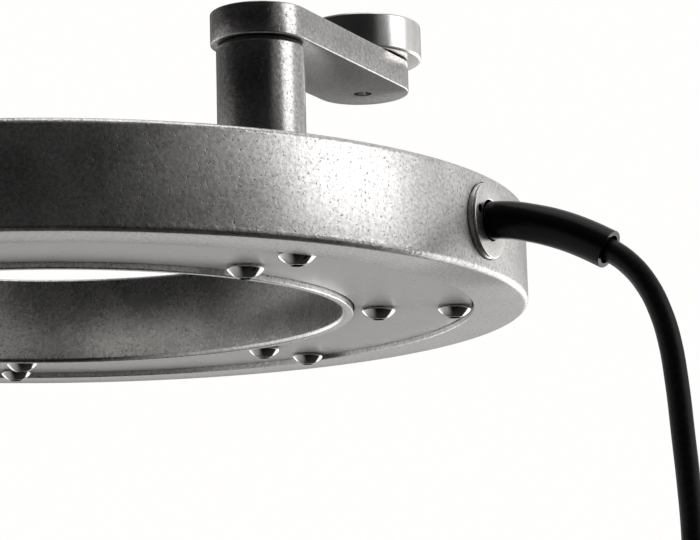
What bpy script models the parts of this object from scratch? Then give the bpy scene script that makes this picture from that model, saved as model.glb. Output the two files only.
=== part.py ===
"""A ring-shaped LED machine lamp that hangs from a magnet foot by a short swivelling arm.

The origin is the centre of the magnet's face, +Z points up into the machine that it holds on to,
and the lamp hangs below. Everything is in metres. The ring throws its light down.
"""

import math

import bmesh
import bpy
import numpy as np
from mathutils import Matrix, Vector

# Clearances that every fit uses
FIT_GAP = 0.0003
CUT_OVERRUN = 0.001

# Housing: a turned aluminium ring with a stepped channel in its underside, by widths from the rim
RING_RADIUS = 0.105
RIM_WALL = 0.0119
OUTER_LEDGE_WIDTH = 0.0081
CHANNEL_WIDTH = 0.0095
INNER_LEDGE_WIDTH = 0.0090
BORE_WALL = 0.0023
RING_HEIGHT = 0.0208
RIM_TOP_ROUND = 0.0014
RIM_BOTTOM_ROUND = 0.0013
BORE_LIP_ROUND = 0.0014
BORE_TOP_CHAMFER = 0.0008
ROOF_THICKNESS = 0.0062

# Cover plate, the two flat gaskets behind it and the screws that hold it
PLATE_RECESS = 0.0012
PLATE_THICKNESS = 0.0030
PLATE_EDGE = 0.0003
GASKET_THICKNESS = 0.0008
GASKET_MARGIN = 0.0005
SCREW_PAIRS = 7
FIRST_PAIR_DEGREES = 31.7
OUTER_HEAD_TO_WALL = 0.0004
INNER_HEAD_TO_WALL = 0.0018
COVER_SCREW_RADIUS = 0.0020
COVER_SCREW_LENGTH = 0.0100
COVER_SCREW_TIP = 0.0004
COVER_HEAD_RADIUS = 0.0038
COVER_HEAD_HEIGHT = 0.0022
COVER_HEAD_RIM = 0.0004
COVER_HEAD_FLAT = 0.0019
COVER_SOCKET_WIDTH = 0.0025
COVER_SOCKET_DEPTH = 0.0012
COVER_HOLE_SPARE = 0.0020

# Light engine: an annular board under the roof of the channel
BOARD_THICKNESS = 0.0016
PAD_THICKNESS = 0.0005
LEDS_PER_SECTOR = 4
LED_WIDTH = 0.0035
LED_BODY_HEIGHT = 0.0008
LED_LENS_HEIGHT = 0.0010
LED_LENS_MARGIN = 0.0005
LED_LENS_TAPER = 0.0004
DRIVER_COUNT = 3
DRIVER_LENGTH = 0.0050
DRIVER_WIDTH = 0.0040
DRIVER_HEIGHT = 0.0015
BOARD_SCREWS = 3
BOARD_SCREW_RADIUS = 0.00125
BOARD_SCREW_LENGTH = 0.0060
BOARD_HEAD_RADIUS = 0.0023
BOARD_HEAD_HEIGHT = 0.0015
TERMINAL_LENGTH = 0.0070
TERMINAL_WIDTH = 0.0050
TERMINAL_HEIGHT = 0.0030
WIRE_RADIUS = 0.0006
WIRE_SPACING = 0.0022

# Post that carries the ring, with a spigot in the roof of the housing
POST_RADIUS = 0.0087
POST_HEIGHT = 0.0214
POST_EDGE = 0.0005
POST_INSET = 0.0220
POST_DEGREES = 29.4
SPIGOT_RADIUS = 0.0040
SPIGOT_FLOOR = 0.0009
SPIGOT_CHAMFER = 0.0005

# Arm: a flat bar with round ends
ARM_LENGTH = 0.0450
ARM_END_RADIUS = 0.0098
ARM_THICKNESS = 0.0064
ARM_EDGE = 0.0004
ARM_DEGREES = 33.9

# Pivot at the post: a shoulder screw through a plain bush, with a disc spring
PIVOT_HEAD_RADIUS = 0.0052
PIVOT_HEAD_HEIGHT = 0.0018
PIVOT_SOCKET_WIDTH = 0.0040
PIVOT_SOCKET_DEPTH = 0.0012
PIVOT_SHOULDER_RADIUS = 0.0030
PIVOT_THREAD_RADIUS = 0.0025
PIVOT_THREAD_LENGTH = 0.0110
PIVOT_HOLE_SPARE = 0.0015
PIVOT_SPRING_THICKNESS = 0.0005
PIVOT_SPRING_RISE = 0.0002
BUSH_WALL = 0.0009
POST_WASHER_RADIUS = 0.0083
POST_WASHER_THICKNESS = 0.0004

# Foot: a pot magnet with a threaded stud that screws into the arm
FOOT_RADIUS = 0.0127
FOOT_HEIGHT = 0.0078
FOOT_CHAMFER = 0.0004
POT_WALL = 0.0030
POT_FLOOR = 0.0030
RESIN_THICKNESS = 0.0007
STUD_RADIUS = 0.0016
STUD_SHORT_OF_ARM = 0.0012
FOOT_WASHER_RADIUS = 0.0064
FOOT_WASHER_THICKNESS = 0.0005

# Sleeve that relieves the cord where it leaves the gland
CORD_RADIUS = 0.00235
SLEEVE_PLAY = 0.00065
SLEEVE_WALL = 0.0009

# Gland in the rim: a plated bush with a flange, screwed in over a rubber seal
GLAND_DEGREES = 55.7
GLAND_RAISE = 0.0003
GLAND_END_WALL = 0.0011
GLAND_WALL = 0.0015
GLAND_THROAT_LENGTH = 0.0010
GLAND_FLANGE_WIDTH = 0.0020
GLAND_FLANGE_THICKNESS = 0.0017
GLAND_FLANGE_CHAMFER = 0.0002
GLAND_FRONT_LIP = 0.00035
GLAND_GROOVE_WIDTH = 0.00035
GLAND_GROOVE_DEPTH = 0.0006
SPANNER_HOLE_RADIUS = 0.0010
SPANNER_HOLE_DEPTH = 0.0009
SPANNER_HOLE_MARGIN = 0.00025
SPANNER_HOLE_TILT = 17.0
SPOT_FACE_DEPTH = 0.0006
SPOT_FACE_MARGIN = 0.0003
WIRE_HOLE_RADIUS = 0.0030
SEAL_LENGTH = 0.0030
CORD_PAST_SEAL = 0.0006

# Spare length of the cord, which is 2.0 m in all: a coil of loops, in layers, that a strap ties
COIL_LOOPS = 11
COIL_LAYERS = 4
COIL_MEAN_RADIUS = 0.0262
COIL_LOOP_GAP = 0.00055
COIL_ENTRY_BEND = 0.0240
COIL_TAIL = 0.0240
TIE_DEGREES = 40.0
TIE_WIDTH = 0.0100
TIE_THICKNESS = 0.0012
TIE_CLEARANCE = 0.0006
TIE_CORNER = 0.0030

# Connector: moulded grip, threaded coupling ring, contact carrier, pins and face seal
GRIP_RADIUS = 0.0068
GRIP_NECK_WALL = 0.00125
GRIP_CONE = 0.0090
GRIP_LENGTH = 0.0240
GRIP_COLLAR_RADIUS = 0.0048
GRIP_COLLAR_LENGTH = 0.0080
NUT_PROUD = 0.0005
NUT_GRIP_LENGTH = 0.0080
NUT_EDGE = 0.0006
NUT_THREAD_WALL = 0.0008
NUT_THREAD_LENGTH = 0.0075
CARRIER_INSET = 0.0005
CARRIER_RECESS = 0.0048
PIN_COUNT = 4
PIN_CIRCLE = 0.0025
PIN_RADIUS = 0.0005
PIN_LENGTH = 0.0060
PIN_SEATED = 0.0018

# Points closer together than this are one point
SAME_POINT = 0.000001

# Number of flats on round shapes, by how large they are
LARGE_ROUND = 64
BOARD_ROUND = 48
MEDIUM_ROUND = 28
PIVOT_ROUND = 24
SMALL_ROUND = 18
SCREW_ROUND = 12
HOLE_ROUND = 10
PIN_ROUND = 8
ARC_STEPS = 2
DOME_STEPS = 2
LOOP_POINTS = 24
SPLINE_STEPS = 20

# Where the cord goes, as distances out from the rim and down from the gland's axis
CORD_ROUTE = (
    (0.0014, 0.0001),
    (0.0052, 0.0004),
    (0.0103, 0.0016),
    (0.0158, 0.0034),
    (0.0213, 0.0059),
    (0.0263, 0.0087),
    (0.0306, 0.0122),
    (0.0340, 0.0168),
    (0.0363, 0.0220),
    (0.0378, 0.0276),
    (0.0389, 0.0361),
    (0.0396, 0.0459),
    (0.0402, 0.0548),
    (0.0406, 0.0637),
    (0.0406, 0.0717),
)
SLEEVE_POINTS = 6

# Radii of the housing, worked out from its widths
POCKET_OUTER_RADIUS = RING_RADIUS - RIM_WALL
CHANNEL_OUTER_RADIUS = POCKET_OUTER_RADIUS - OUTER_LEDGE_WIDTH
CHANNEL_INNER_RADIUS = CHANNEL_OUTER_RADIUS - CHANNEL_WIDTH
POCKET_INNER_RADIUS = CHANNEL_INNER_RADIUS - INNER_LEDGE_WIDTH
BORE_RADIUS = POCKET_INNER_RADIUS - BORE_WALL
OUTER_SCREW_CIRCLE = POCKET_OUTER_RADIUS - COVER_HEAD_RADIUS - OUTER_HEAD_TO_WALL
INNER_SCREW_CIRCLE = POCKET_INNER_RADIUS + COVER_HEAD_RADIUS + INNER_HEAD_TO_WALL
POST_CIRCLE = RING_RADIUS - POST_INSET
SPIGOT_LENGTH = ROOF_THICKNESS - SPIGOT_FLOOR - FIT_GAP

# Heights, from the magnet's face down to the lip of the ring
FOOT_BOTTOM = -FOOT_HEIGHT
ARM_TOP = FOOT_BOTTOM - FIT_GAP
ARM_BOTTOM = ARM_TOP - ARM_THICKNESS
POST_WASHER_TOP = ARM_BOTTOM - FIT_GAP
POST_TOP = POST_WASHER_TOP - POST_WASHER_THICKNESS - FIT_GAP
RING_TOP = POST_TOP - POST_HEIGHT
RING_BOTTOM = RING_TOP - RING_HEIGHT

# Heights above the lip of the ring
PLATE_BACK = PLATE_RECESS + PLATE_THICKNESS
GASKET_FRONT = PLATE_BACK + FIT_GAP
GASKET_BACK = GASKET_FRONT + GASKET_THICKNESS
LEDGE = GASKET_BACK + FIT_GAP
ROOF = RING_HEIGHT - ROOF_THICKNESS
PAD_FRONT = ROOF - FIT_GAP - PAD_THICKNESS
BOARD_BACK = PAD_FRONT - FIT_GAP
BOARD_FRONT = BOARD_BACK - BOARD_THICKNESS
PARTS_SEAT = BOARD_FRONT - FIT_GAP
SOLDER_SEAT = BOARD_FRONT + FIT_GAP
BOARD_MIDDLE = (CHANNEL_INNER_RADIUS + CHANNEL_OUTER_RADIUS) / 2
SECTOR_DEGREES = 360 / SCREW_PAIRS

# Gland, from the rim's surface inwards, with the sleeve, the seal and the cord's end in it
CORD_DIAMETER = 2 * CORD_RADIUS
SLEEVE_RADIUS = CORD_RADIUS + SLEEVE_PLAY + SLEEVE_WALL
GLAND_HEIGHT = RING_HEIGHT / 2 + GLAND_RAISE
GLAND_BORE_RADIUS = SLEEVE_RADIUS + FIT_GAP
GLAND_THREAD_RADIUS = GLAND_BORE_RADIUS + GLAND_WALL
GLAND_FLANGE_RADIUS = GLAND_THREAD_RADIUS + GLAND_FLANGE_WIDTH
FLANGE_SEAT = FIT_GAP - SPOT_FACE_DEPTH
GLAND_END = GLAND_END_WALL + FIT_GAP - RIM_WALL
THROAT_SEAT = GLAND_END + GLAND_THROAT_LENGTH
SEAL_INNER_END = THROAT_SEAT + FIT_GAP
SLEEVE_INSIDE_END = SEAL_INNER_END + SEAL_LENGTH + FIT_GAP
CORD_INSIDE_END = SEAL_INNER_END + CORD_PAST_SEAL


def clear_scene():
    for found in list(bpy.data.objects):
        bpy.data.objects.remove(found, do_unlink=True)


def collection_named(name):
    made = bpy.data.collections.new(name)
    bpy.context.scene.collection.children.link(made)
    return made


def frame(name, parent, place, turn_degrees=0.0):
    """An empty that carries pieces, turned about its own Z."""
    made = bpy.data.objects.new(name, None)
    LAMP.objects.link(made)
    made.parent = parent
    made.location = place
    made.rotation_euler = (0, 0, math.radians(turn_degrees))
    return made


def shown(piece, parent, colour, roughness, metallic):
    """Puts a piece in the lamp's collection, on its frame, with a material of its own."""
    LAMP.objects.link(piece)
    piece.parent = parent
    material = bpy.data.materials.new(piece.name + "_finish")
    material.use_nodes = True
    surface = material.node_tree.nodes["Principled BSDF"]
    surface.inputs["Base Color"].default_value = (*colour, 1)
    surface.inputs["Roughness"].default_value = roughness
    surface.inputs["Metallic"].default_value = metallic
    material.diffuse_color = (*colour, 1)
    piece.data.materials.append(material)
    return piece


def cutter(piece, parent):
    """Puts a shape that only cuts in the collection of cutters."""
    CUTTERS.objects.link(piece)
    piece.parent = parent
    piece.hide_render = True
    piece.display_type = "WIRE"
    return piece


def cut(piece, tool, operation="DIFFERENCE"):
    modifier = piece.modifiers.new(operation.lower() + "_" + tool.name, "BOOLEAN")
    modifier.operation = operation
    modifier.solver = "EXACT"
    modifier.object = tool


def turned(name, profile, flats, closed=False):
    """A turned piece about Z: the profile runs down its outer side, and is closed for a ring."""
    points = [(radius, 0, height) for radius, height in profile]
    edges = [(i, i + 1) for i in range(len(points) - 1)]
    if closed:
        edges.append((len(points) - 1, 0))
    mesh = bpy.data.meshes.new(name)
    mesh.from_pydata(points, edges, [])
    piece = bpy.data.objects.new(name, mesh)
    screw = piece.modifiers.new("turn", "SCREW")
    screw.axis = "Z"
    screw.angle = math.tau
    screw.steps = flats
    screw.render_steps = flats
    screw.use_merge_vertices = True
    screw.merge_threshold = SAME_POINT
    screw.use_smooth_shade = True
    return piece


def washer_profile(inner, outer, low, high):
    return [(outer, high), (outer, low), (inner, low), (inner, high)]


def rod_profile(radius, low, high):
    return [(0, high), (radius, high), (radius, low), (0, low)]


def arc(centre, radius, start, end, steps=ARC_STEPS):
    """Points of an arc, by angles in degrees from +radius towards +height."""
    angles = [math.radians(start + (end - start) * i / steps) for i in range(steps + 1)]
    return [(centre[0] + radius * math.cos(a), centre[1] + radius * math.sin(a)) for a in angles]


def object_of(name, bm):
    mesh = bpy.data.meshes.new(name)
    bm.to_mesh(mesh)
    bm.free()
    return bpy.data.objects.new(name, mesh)


def block(name, length, width, height):
    """A box that stands on its origin."""
    bm = bmesh.new()
    bmesh.ops.create_cube(bm, size=1)
    bmesh.ops.scale(bm, vec=(length, width, height), verts=bm.verts)
    bmesh.ops.translate(bm, vec=(0, 0, height / 2), verts=bm.verts)
    return object_of(name, bm)


def prism(name, sides, radius, low, high):
    bm = bmesh.new()
    bmesh.ops.create_cone(
        bm, cap_ends=True, segments=sides, radius1=radius, radius2=radius, depth=high - low
    )
    bmesh.ops.translate(bm, vec=(0, 0, (high + low) / 2), verts=bm.verts)
    return object_of(name, bm)


def mesh_of(piece):
    """The finished mesh of a piece that isn't in the scene yet, and the end of that piece."""
    bpy.context.scene.collection.objects.link(piece)
    bpy.context.view_layer.update()
    graph = bpy.context.evaluated_depsgraph_get()
    mesh = bpy.data.meshes.new_from_object(piece.evaluated_get(graph))
    bpy.data.objects.remove(piece, do_unlink=True)
    return mesh


def pattern(name, template, places):
    """One tool that holds a copy of the template at each place."""
    mesh = mesh_of(template)
    bm = bmesh.new()
    for place in places:
        one = mesh.copy()
        one.transform(place)
        bm.from_mesh(one)
        bpy.data.meshes.remove(one)
    return object_of(name, bm)


def repeated(name, mesh, places, parent, colour, roughness, metallic):
    """A numbered piece at each place, all of them with the same mesh."""
    for number, place in enumerate(places, 1):
        piece = bpy.data.objects.new(f"{name}_{number}", mesh)
        if number == 1:
            shown(piece, parent, colour, roughness, metallic)
        else:
            LAMP.objects.link(piece)
            piece.parent = parent
        piece.matrix_basis = place


def around(radius, degrees, height=0.0):
    """A point of the ring: the angle runs from -Y towards +X."""
    a = math.radians(degrees)
    return Vector((radius * math.sin(a), -radius * math.cos(a), height))


def on_ring(radius, degrees, height=0.0):
    """A place on the ring whose own X points outwards."""
    turn = Matrix.Rotation(math.radians(degrees - 90), 4, "Z")
    return Matrix.Translation(around(radius, degrees, height)) @ turn


def smooth_line(points, step):
    """Points about one step apart on a smooth curve through the given points."""
    points = [Vector(p) for p in points]
    ends = [2 * points[0] - points[1], *points, 2 * points[-1] - points[-2]]
    fine = []
    for a, b, c, d in zip(ends, ends[1:], ends[2:], ends[3:]):
        for i in range(SPLINE_STEPS):
            t = i / SPLINE_STEPS
            fine.append(
                b
                + (c - a) * (t / 2)
                + (2 * a - 5 * b + 4 * c - d) * (t * t / 2)
                + (3 * b - a - 3 * c + d) * (t**3 / 2)
            )
    fine.append(points[-1])
    runs = np.cumsum([0] + [(q - p).length for p, q in zip(fine, fine[1:])])
    count = max(2, round(runs[-1] / step))
    wanted = np.linspace(0, runs[-1], count + 1)
    return [
        Vector([np.interp(w, runs, [p[axis] for p in fine]) for axis in range(3)]) for w in wanted
    ]


def line_length(points):
    return sum((Vector(q) - Vector(p)).length for p, q in zip(points, points[1:]))


def tube(name, points, radius, resolution, capped=True):
    """A round tube along a line of points."""
    curve = bpy.data.curves.new(name, "CURVE")
    curve.dimensions = "3D"
    curve.bevel_depth = radius
    curve.bevel_resolution = resolution
    curve.use_fill_caps = capped
    spline = curve.splines.new("POLY")
    spline.points.add(len(points) - 1)
    for place, point in zip(spline.points, points):
        place.co = (*point, 1)
    return bpy.data.objects.new(name, curve)


def flat_outline(name, outlines, thickness):
    """A plate from flat closed outlines, the inner ones being holes, with its middle at Z zero."""
    curve = bpy.data.curves.new(name, "CURVE")
    curve.dimensions = "2D"
    curve.fill_mode = "BOTH"
    curve.extrude = thickness / 2
    for outline in outlines:
        spline = curve.splines.new("POLY")
        spline.points.add(len(outline) - 1)
        spline.use_cyclic_u = True
        for place, point in zip(spline.points, outline):
            place.co = (point[0], point[1], 0, 1)
    return bpy.data.objects.new(name, curve)


def welded(piece):
    """The same piece as a mesh whose caps are sewn to its sides."""
    name = piece.name
    bm = bmesh.new()
    mesh = mesh_of(piece)
    bm.from_mesh(mesh)
    bmesh.ops.remove_doubles(bm, verts=bm.verts, dist=SAME_POINT)
    bpy.data.meshes.remove(mesh)
    return object_of(name, bm)


def rounded_rectangle(half_x, half_y, corner, centre):
    """A flat rectangle with round corners, counter-clockwise."""
    outline = []
    for side_x, side_y, start in ((1, 1, 0), (-1, 1, 90), (-1, -1, 180), (1, -1, 270)):
        middle = (centre[0] + side_x * (half_x - corner), centre[1] + side_y * (half_y - corner))
        outline += arc(middle, corner, start, start + 90)
    return outline


def socket(name, width, depth, head_top):
    """A hexagon socket that goes down into a head from its top."""
    return prism(name, 6, width / math.sqrt(3), head_top - depth, head_top + CUT_OVERRUN)


def housing():
    profile = (
        arc((RING_RADIUS - RIM_TOP_ROUND, RING_HEIGHT - RIM_TOP_ROUND), RIM_TOP_ROUND, 90, 0)
        + arc((RING_RADIUS - RIM_BOTTOM_ROUND, RIM_BOTTOM_ROUND), RIM_BOTTOM_ROUND, 0, -90)
        + [
            (POCKET_OUTER_RADIUS, 0),
            (POCKET_OUTER_RADIUS, LEDGE),
            (CHANNEL_OUTER_RADIUS, LEDGE),
            (CHANNEL_OUTER_RADIUS, ROOF),
            (CHANNEL_INNER_RADIUS, ROOF),
            (CHANNEL_INNER_RADIUS, LEDGE),
            (POCKET_INNER_RADIUS, LEDGE),
            (POCKET_INNER_RADIUS, 0),
        ]
        + arc((BORE_RADIUS + BORE_LIP_ROUND, BORE_LIP_ROUND), BORE_LIP_ROUND, -90, -180)
        + [
            (BORE_RADIUS, RING_HEIGHT - BORE_TOP_CHAMFER),
            (BORE_RADIUS + BORE_TOP_CHAMFER, RING_HEIGHT),
        ]
    )
    ring = turned("ring_housing", profile, LARGE_ROUND, closed=True)
    shown(ring, RING, (0.62, 0.61, 0.60), 0.42, 1.0)
    screw_depth = PLATE_RECESS - FIT_GAP + COVER_SCREW_LENGTH + COVER_HOLE_SPARE
    hole = prism("", HOLE_ROUND, COVER_SCREW_RADIUS + FIT_GAP, LEDGE - CUT_OVERRUN, screw_depth)
    holes = pattern("screw_holes", hole, [Matrix.Translation(p) for p in cover_screw_points()])
    cut(ring, cutter(holes, RING))
    tapped = PARTS_SEAT + BOARD_SCREW_LENGTH + FIT_GAP
    hole = prism("", HOLE_ROUND, BOARD_SCREW_RADIUS + FIT_GAP, ROOF - CUT_OVERRUN, tapped)
    holes = pattern("board_screw_holes", hole, [on_ring(*p) for p in board_screw_points()])
    cut(ring, cutter(holes, RING))
    hole = prism(
        "spigot_hole",
        SMALL_ROUND,
        SPIGOT_RADIUS + FIT_GAP,
        RING_HEIGHT - SPIGOT_LENGTH - FIT_GAP,
        RING_HEIGHT + CUT_OVERRUN,
    )
    hole.location = around(POST_CIRCLE, POST_DEGREES)
    cut(ring, cutter(hole, RING))
    cut(ring, cutter(gland_hole(), GLAND))


def gland_hole():
    """The stepped hole in the rim: a spot face, a tapped hole, and a way in for the wires."""
    wires_end = CHANNEL_OUTER_RADIUS - RING_RADIUS - CUT_OVERRUN
    spot_radius = GLAND_FLANGE_RADIUS + SPOT_FACE_MARGIN
    thread_radius = GLAND_THREAD_RADIUS + FIT_GAP
    profile = [
        (0, CUT_OVERRUN),
        (spot_radius, CUT_OVERRUN),
        (spot_radius, -SPOT_FACE_DEPTH),
        (thread_radius, -SPOT_FACE_DEPTH),
        (thread_radius, GLAND_END - FIT_GAP),
        (WIRE_HOLE_RADIUS, GLAND_END - FIT_GAP),
        (WIRE_HOLE_RADIUS, wires_end),
        (0, wires_end),
    ]
    hole = turned("gland_hole", profile, MEDIUM_ROUND)
    hole.rotation_euler = (0, math.radians(90), 0)
    return hole


def pair_degrees(pair):
    return FIRST_PAIR_DEGREES + pair * SECTOR_DEGREES


def cover_screw_points(circles=(OUTER_SCREW_CIRCLE, INNER_SCREW_CIRCLE)):
    return [around(c, pair_degrees(i)) for c in circles for i in range(SCREW_PAIRS)]


def board_screw_points():
    """Board screws stand between LEDs, at every other pair of cover screws."""
    return [(BOARD_MIDDLE, pair_degrees(1 + 2 * i)) for i in range(BOARD_SCREWS)]


def cover():
    outer = POCKET_OUTER_RADIUS - FIT_GAP
    inner = POCKET_INNER_RADIUS + FIT_GAP
    profile = [
        (outer, PLATE_BACK),
        (outer, PLATE_RECESS + PLATE_EDGE),
        (outer - PLATE_EDGE, PLATE_RECESS),
        (inner + PLATE_EDGE, PLATE_RECESS),
        (inner, PLATE_RECESS + PLATE_EDGE),
        (inner, PLATE_BACK),
    ]
    plate = turned("cover_plate", profile, LARGE_ROUND, closed=True)
    shown(plate, RING, (0.72, 0.71, 0.70), 0.28, 0.0)
    low = PLATE_RECESS - CUT_OVERRUN
    hole = prism("", HOLE_ROUND, COVER_SCREW_RADIUS + FIT_GAP, low, GASKET_BACK + CUT_OVERRUN)
    holes = pattern("cover_holes", hole, [Matrix.Translation(p) for p in cover_screw_points()])
    tool = cutter(holes, RING)
    cut(plate, tool)
    gaskets = (
        ("outer_gasket", CHANNEL_OUTER_RADIUS + GASKET_MARGIN, outer),
        ("inner_gasket", inner, CHANNEL_INNER_RADIUS - GASKET_MARGIN),
    )
    for name, near, far in gaskets:
        profile = washer_profile(near, far, GASKET_FRONT, GASKET_BACK)
        gasket = turned(name, profile, BOARD_ROUND, closed=True)
        shown(gasket, RING, (0.03, 0.03, 0.03), 0.8, 0.0)
        cut(gasket, tool)


def button_screw():
    """The mesh of a button-head socket screw that points up, its head's seat at Z zero."""
    head = COVER_HEAD_HEIGHT
    width = COVER_HEAD_RADIUS - COVER_HEAD_FLAT
    dome = [
        (
            COVER_HEAD_FLAT + width * math.cos(math.radians(90 * i / DOME_STEPS)),
            -COVER_HEAD_RIM - (head - COVER_HEAD_RIM) * math.sin(math.radians(90 * i / DOME_STEPS)),
        )
        for i in range(DOME_STEPS + 1)
    ]
    profile = [
        (0, COVER_SCREW_LENGTH),
        (COVER_SCREW_RADIUS - COVER_SCREW_TIP, COVER_SCREW_LENGTH),
        (COVER_SCREW_RADIUS, COVER_SCREW_LENGTH - COVER_SCREW_TIP),
        (COVER_SCREW_RADIUS, 0),
        (COVER_HEAD_RADIUS, 0),
        *dome,
        (0, -head),
    ]
    screw = turned("cover_screw", profile, SCREW_ROUND)
    pocket = socket("cover_screw_socket", COVER_SOCKET_WIDTH, COVER_SOCKET_DEPTH, head)
    pocket.rotation_euler = (math.pi, 0, 0)
    cut(screw, cutter(pocket, None))
    mesh = mesh_of(screw)
    bpy.data.objects.remove(pocket)
    return mesh


def cover_screws():
    seat = Vector((0, 0, PLATE_RECESS - FIT_GAP))
    mesh = button_screw()
    rows = (("outer_cover_screw", OUTER_SCREW_CIRCLE), ("inner_cover_screw", INNER_SCREW_CIRCLE))
    for name, circle in rows:
        places = [Matrix.Translation(point + seat) for point in cover_screw_points((circle,))]
        repeated(name, mesh, places, RING, (0.66, 0.65, 0.63), 0.12, 1.0)


def light_engine():
    near = CHANNEL_INNER_RADIUS + FIT_GAP
    far = CHANNEL_OUTER_RADIUS - FIT_GAP
    low = BOARD_FRONT - CUT_OVERRUN
    hole = prism("", HOLE_ROUND, BOARD_SCREW_RADIUS + FIT_GAP, low, ROOF)
    holes = pattern("board_holes", hole, [on_ring(*p) for p in board_screw_points()])
    tool = cutter(holes, RING)
    pad_profile = washer_profile(near, far, PAD_FRONT, PAD_FRONT + PAD_THICKNESS)
    pad = turned("thermal_pad", pad_profile, BOARD_ROUND, closed=True)
    shown(pad, RING, (0.45, 0.47, 0.52), 0.8, 0.0)
    cut(pad, tool)
    board_profile = washer_profile(near, far, BOARD_FRONT, BOARD_BACK)
    board = turned("led_board", board_profile, BOARD_ROUND, closed=True)
    shown(board, RING, (0.85, 0.86, 0.84), 0.45, 0.0)
    cut(board, tool)
    screw_profile = [
        (0, BOARD_SCREW_LENGTH),
        (BOARD_SCREW_RADIUS, BOARD_SCREW_LENGTH),
        (BOARD_SCREW_RADIUS, 0),
        (BOARD_HEAD_RADIUS, 0),
        (BOARD_HEAD_RADIUS, -BOARD_HEAD_HEIGHT),
        (0, -BOARD_HEAD_HEIGHT),
    ]
    screw = turned("board_screw", screw_profile, SCREW_ROUND)
    places = [on_ring(*p, PARTS_SEAT) for p in board_screw_points()]
    repeated("board_screw", mesh_of(screw), places, RING, (0.7, 0.7, 0.68), 0.3, 1.0)
    for tool in board_parts():
        cut(board, cutter(tool, RING), "UNION")


def led_package(name):
    """A white package with a clear lens, hanging below its seat at Z zero."""
    bm = bmesh.new()
    bmesh.ops.create_cube(bm, size=1)
    bmesh.ops.scale(bm, vec=(LED_WIDTH, LED_WIDTH, LED_BODY_HEIGHT), verts=bm.verts)
    bmesh.ops.translate(bm, vec=(0, 0, -LED_BODY_HEIGHT / 2), verts=bm.verts)
    bm.faces.ensure_lookup_table()
    face = min(bm.faces, key=lambda f: f.calc_center_median().z)
    bmesh.ops.inset_region(bm, faces=[face], thickness=LED_LENS_MARGIN)
    lens = bmesh.ops.extrude_face_region(bm, geom=[face])
    bmesh.ops.delete(bm, geom=[face], context="FACES")
    tip = [v for v in lens["geom"] if isinstance(v, bmesh.types.BMVert)]
    bmesh.ops.translate(bm, vec=(0, 0, -LED_LENS_HEIGHT), verts=tip)
    lens_width = LED_WIDTH - 2 * LED_LENS_MARGIN
    shrink = (lens_width - 2 * LED_LENS_TAPER) / lens_width
    bmesh.ops.scale(bm, vec=(shrink, shrink, 1), verts=tip)
    return object_of(name, bm)


def board_parts():
    """The LEDs and their driver chips, soldered on the board with their feet in its face."""
    led_step = SECTOR_DEGREES / LEDS_PER_SECTOR
    led_places = [
        on_ring(BOARD_MIDDLE, FIRST_PAIR_DEGREES + (i + 0.5) * led_step, SOLDER_SEAT)
        for i in range(SCREW_PAIRS * LEDS_PER_SECTOR)
    ]
    driver_places = [
        on_ring(BOARD_MIDDLE, pair_degrees(2 + 2 * i), SOLDER_SEAT - DRIVER_HEIGHT)
        for i in range(DRIVER_COUNT)
    ]
    driver = block("driver", DRIVER_WIDTH, DRIVER_LENGTH, DRIVER_HEIGHT)
    return (
        pattern("led_packages", led_package("led"), led_places),
        pattern("driver_packages", driver, driver_places),
    )


def wiring():
    """The terminal block on the board, and the two cores that come to it from the cord."""
    terminal = block("wire_terminal", TERMINAL_WIDTH, TERMINAL_LENGTH, TERMINAL_HEIGHT)
    terminal.location = (BOARD_MIDDLE - RING_RADIUS, 0, PARTS_SEAT - TERMINAL_HEIGHT - GLAND_HEIGHT)
    shown(terminal, GLAND, (0.8, 0.8, 0.78), 0.4, 0.0)
    start = CORD_INSIDE_END - FIT_GAP
    end = BOARD_MIDDLE - RING_RADIUS + TERMINAL_WIDTH / 2 + FIT_GAP
    middle = (start + end) / 2
    fall = PARTS_SEAT - TERMINAL_HEIGHT / 2 - GLAND_HEIGHT
    for name, side, colour in (
        ("wire_plus", 1, (0.5, 0.03, 0.02)),
        ("wire_minus", -1, (0.02, 0.02, 0.02)),
    ):
        across = side * WIRE_SPACING / 2
        points = [
            (start, across, 0),
            ((start + middle) / 2, across, fall / 4),
            ((middle + end) / 2, across, fall * 3 / 4),
            (end, across, fall),
        ]
        wire = tube(name, smooth_line(points, 4 * WIRE_RADIUS), WIRE_RADIUS, 1)
        shown(wire, GLAND, colour, 0.4, 0.0)


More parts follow.
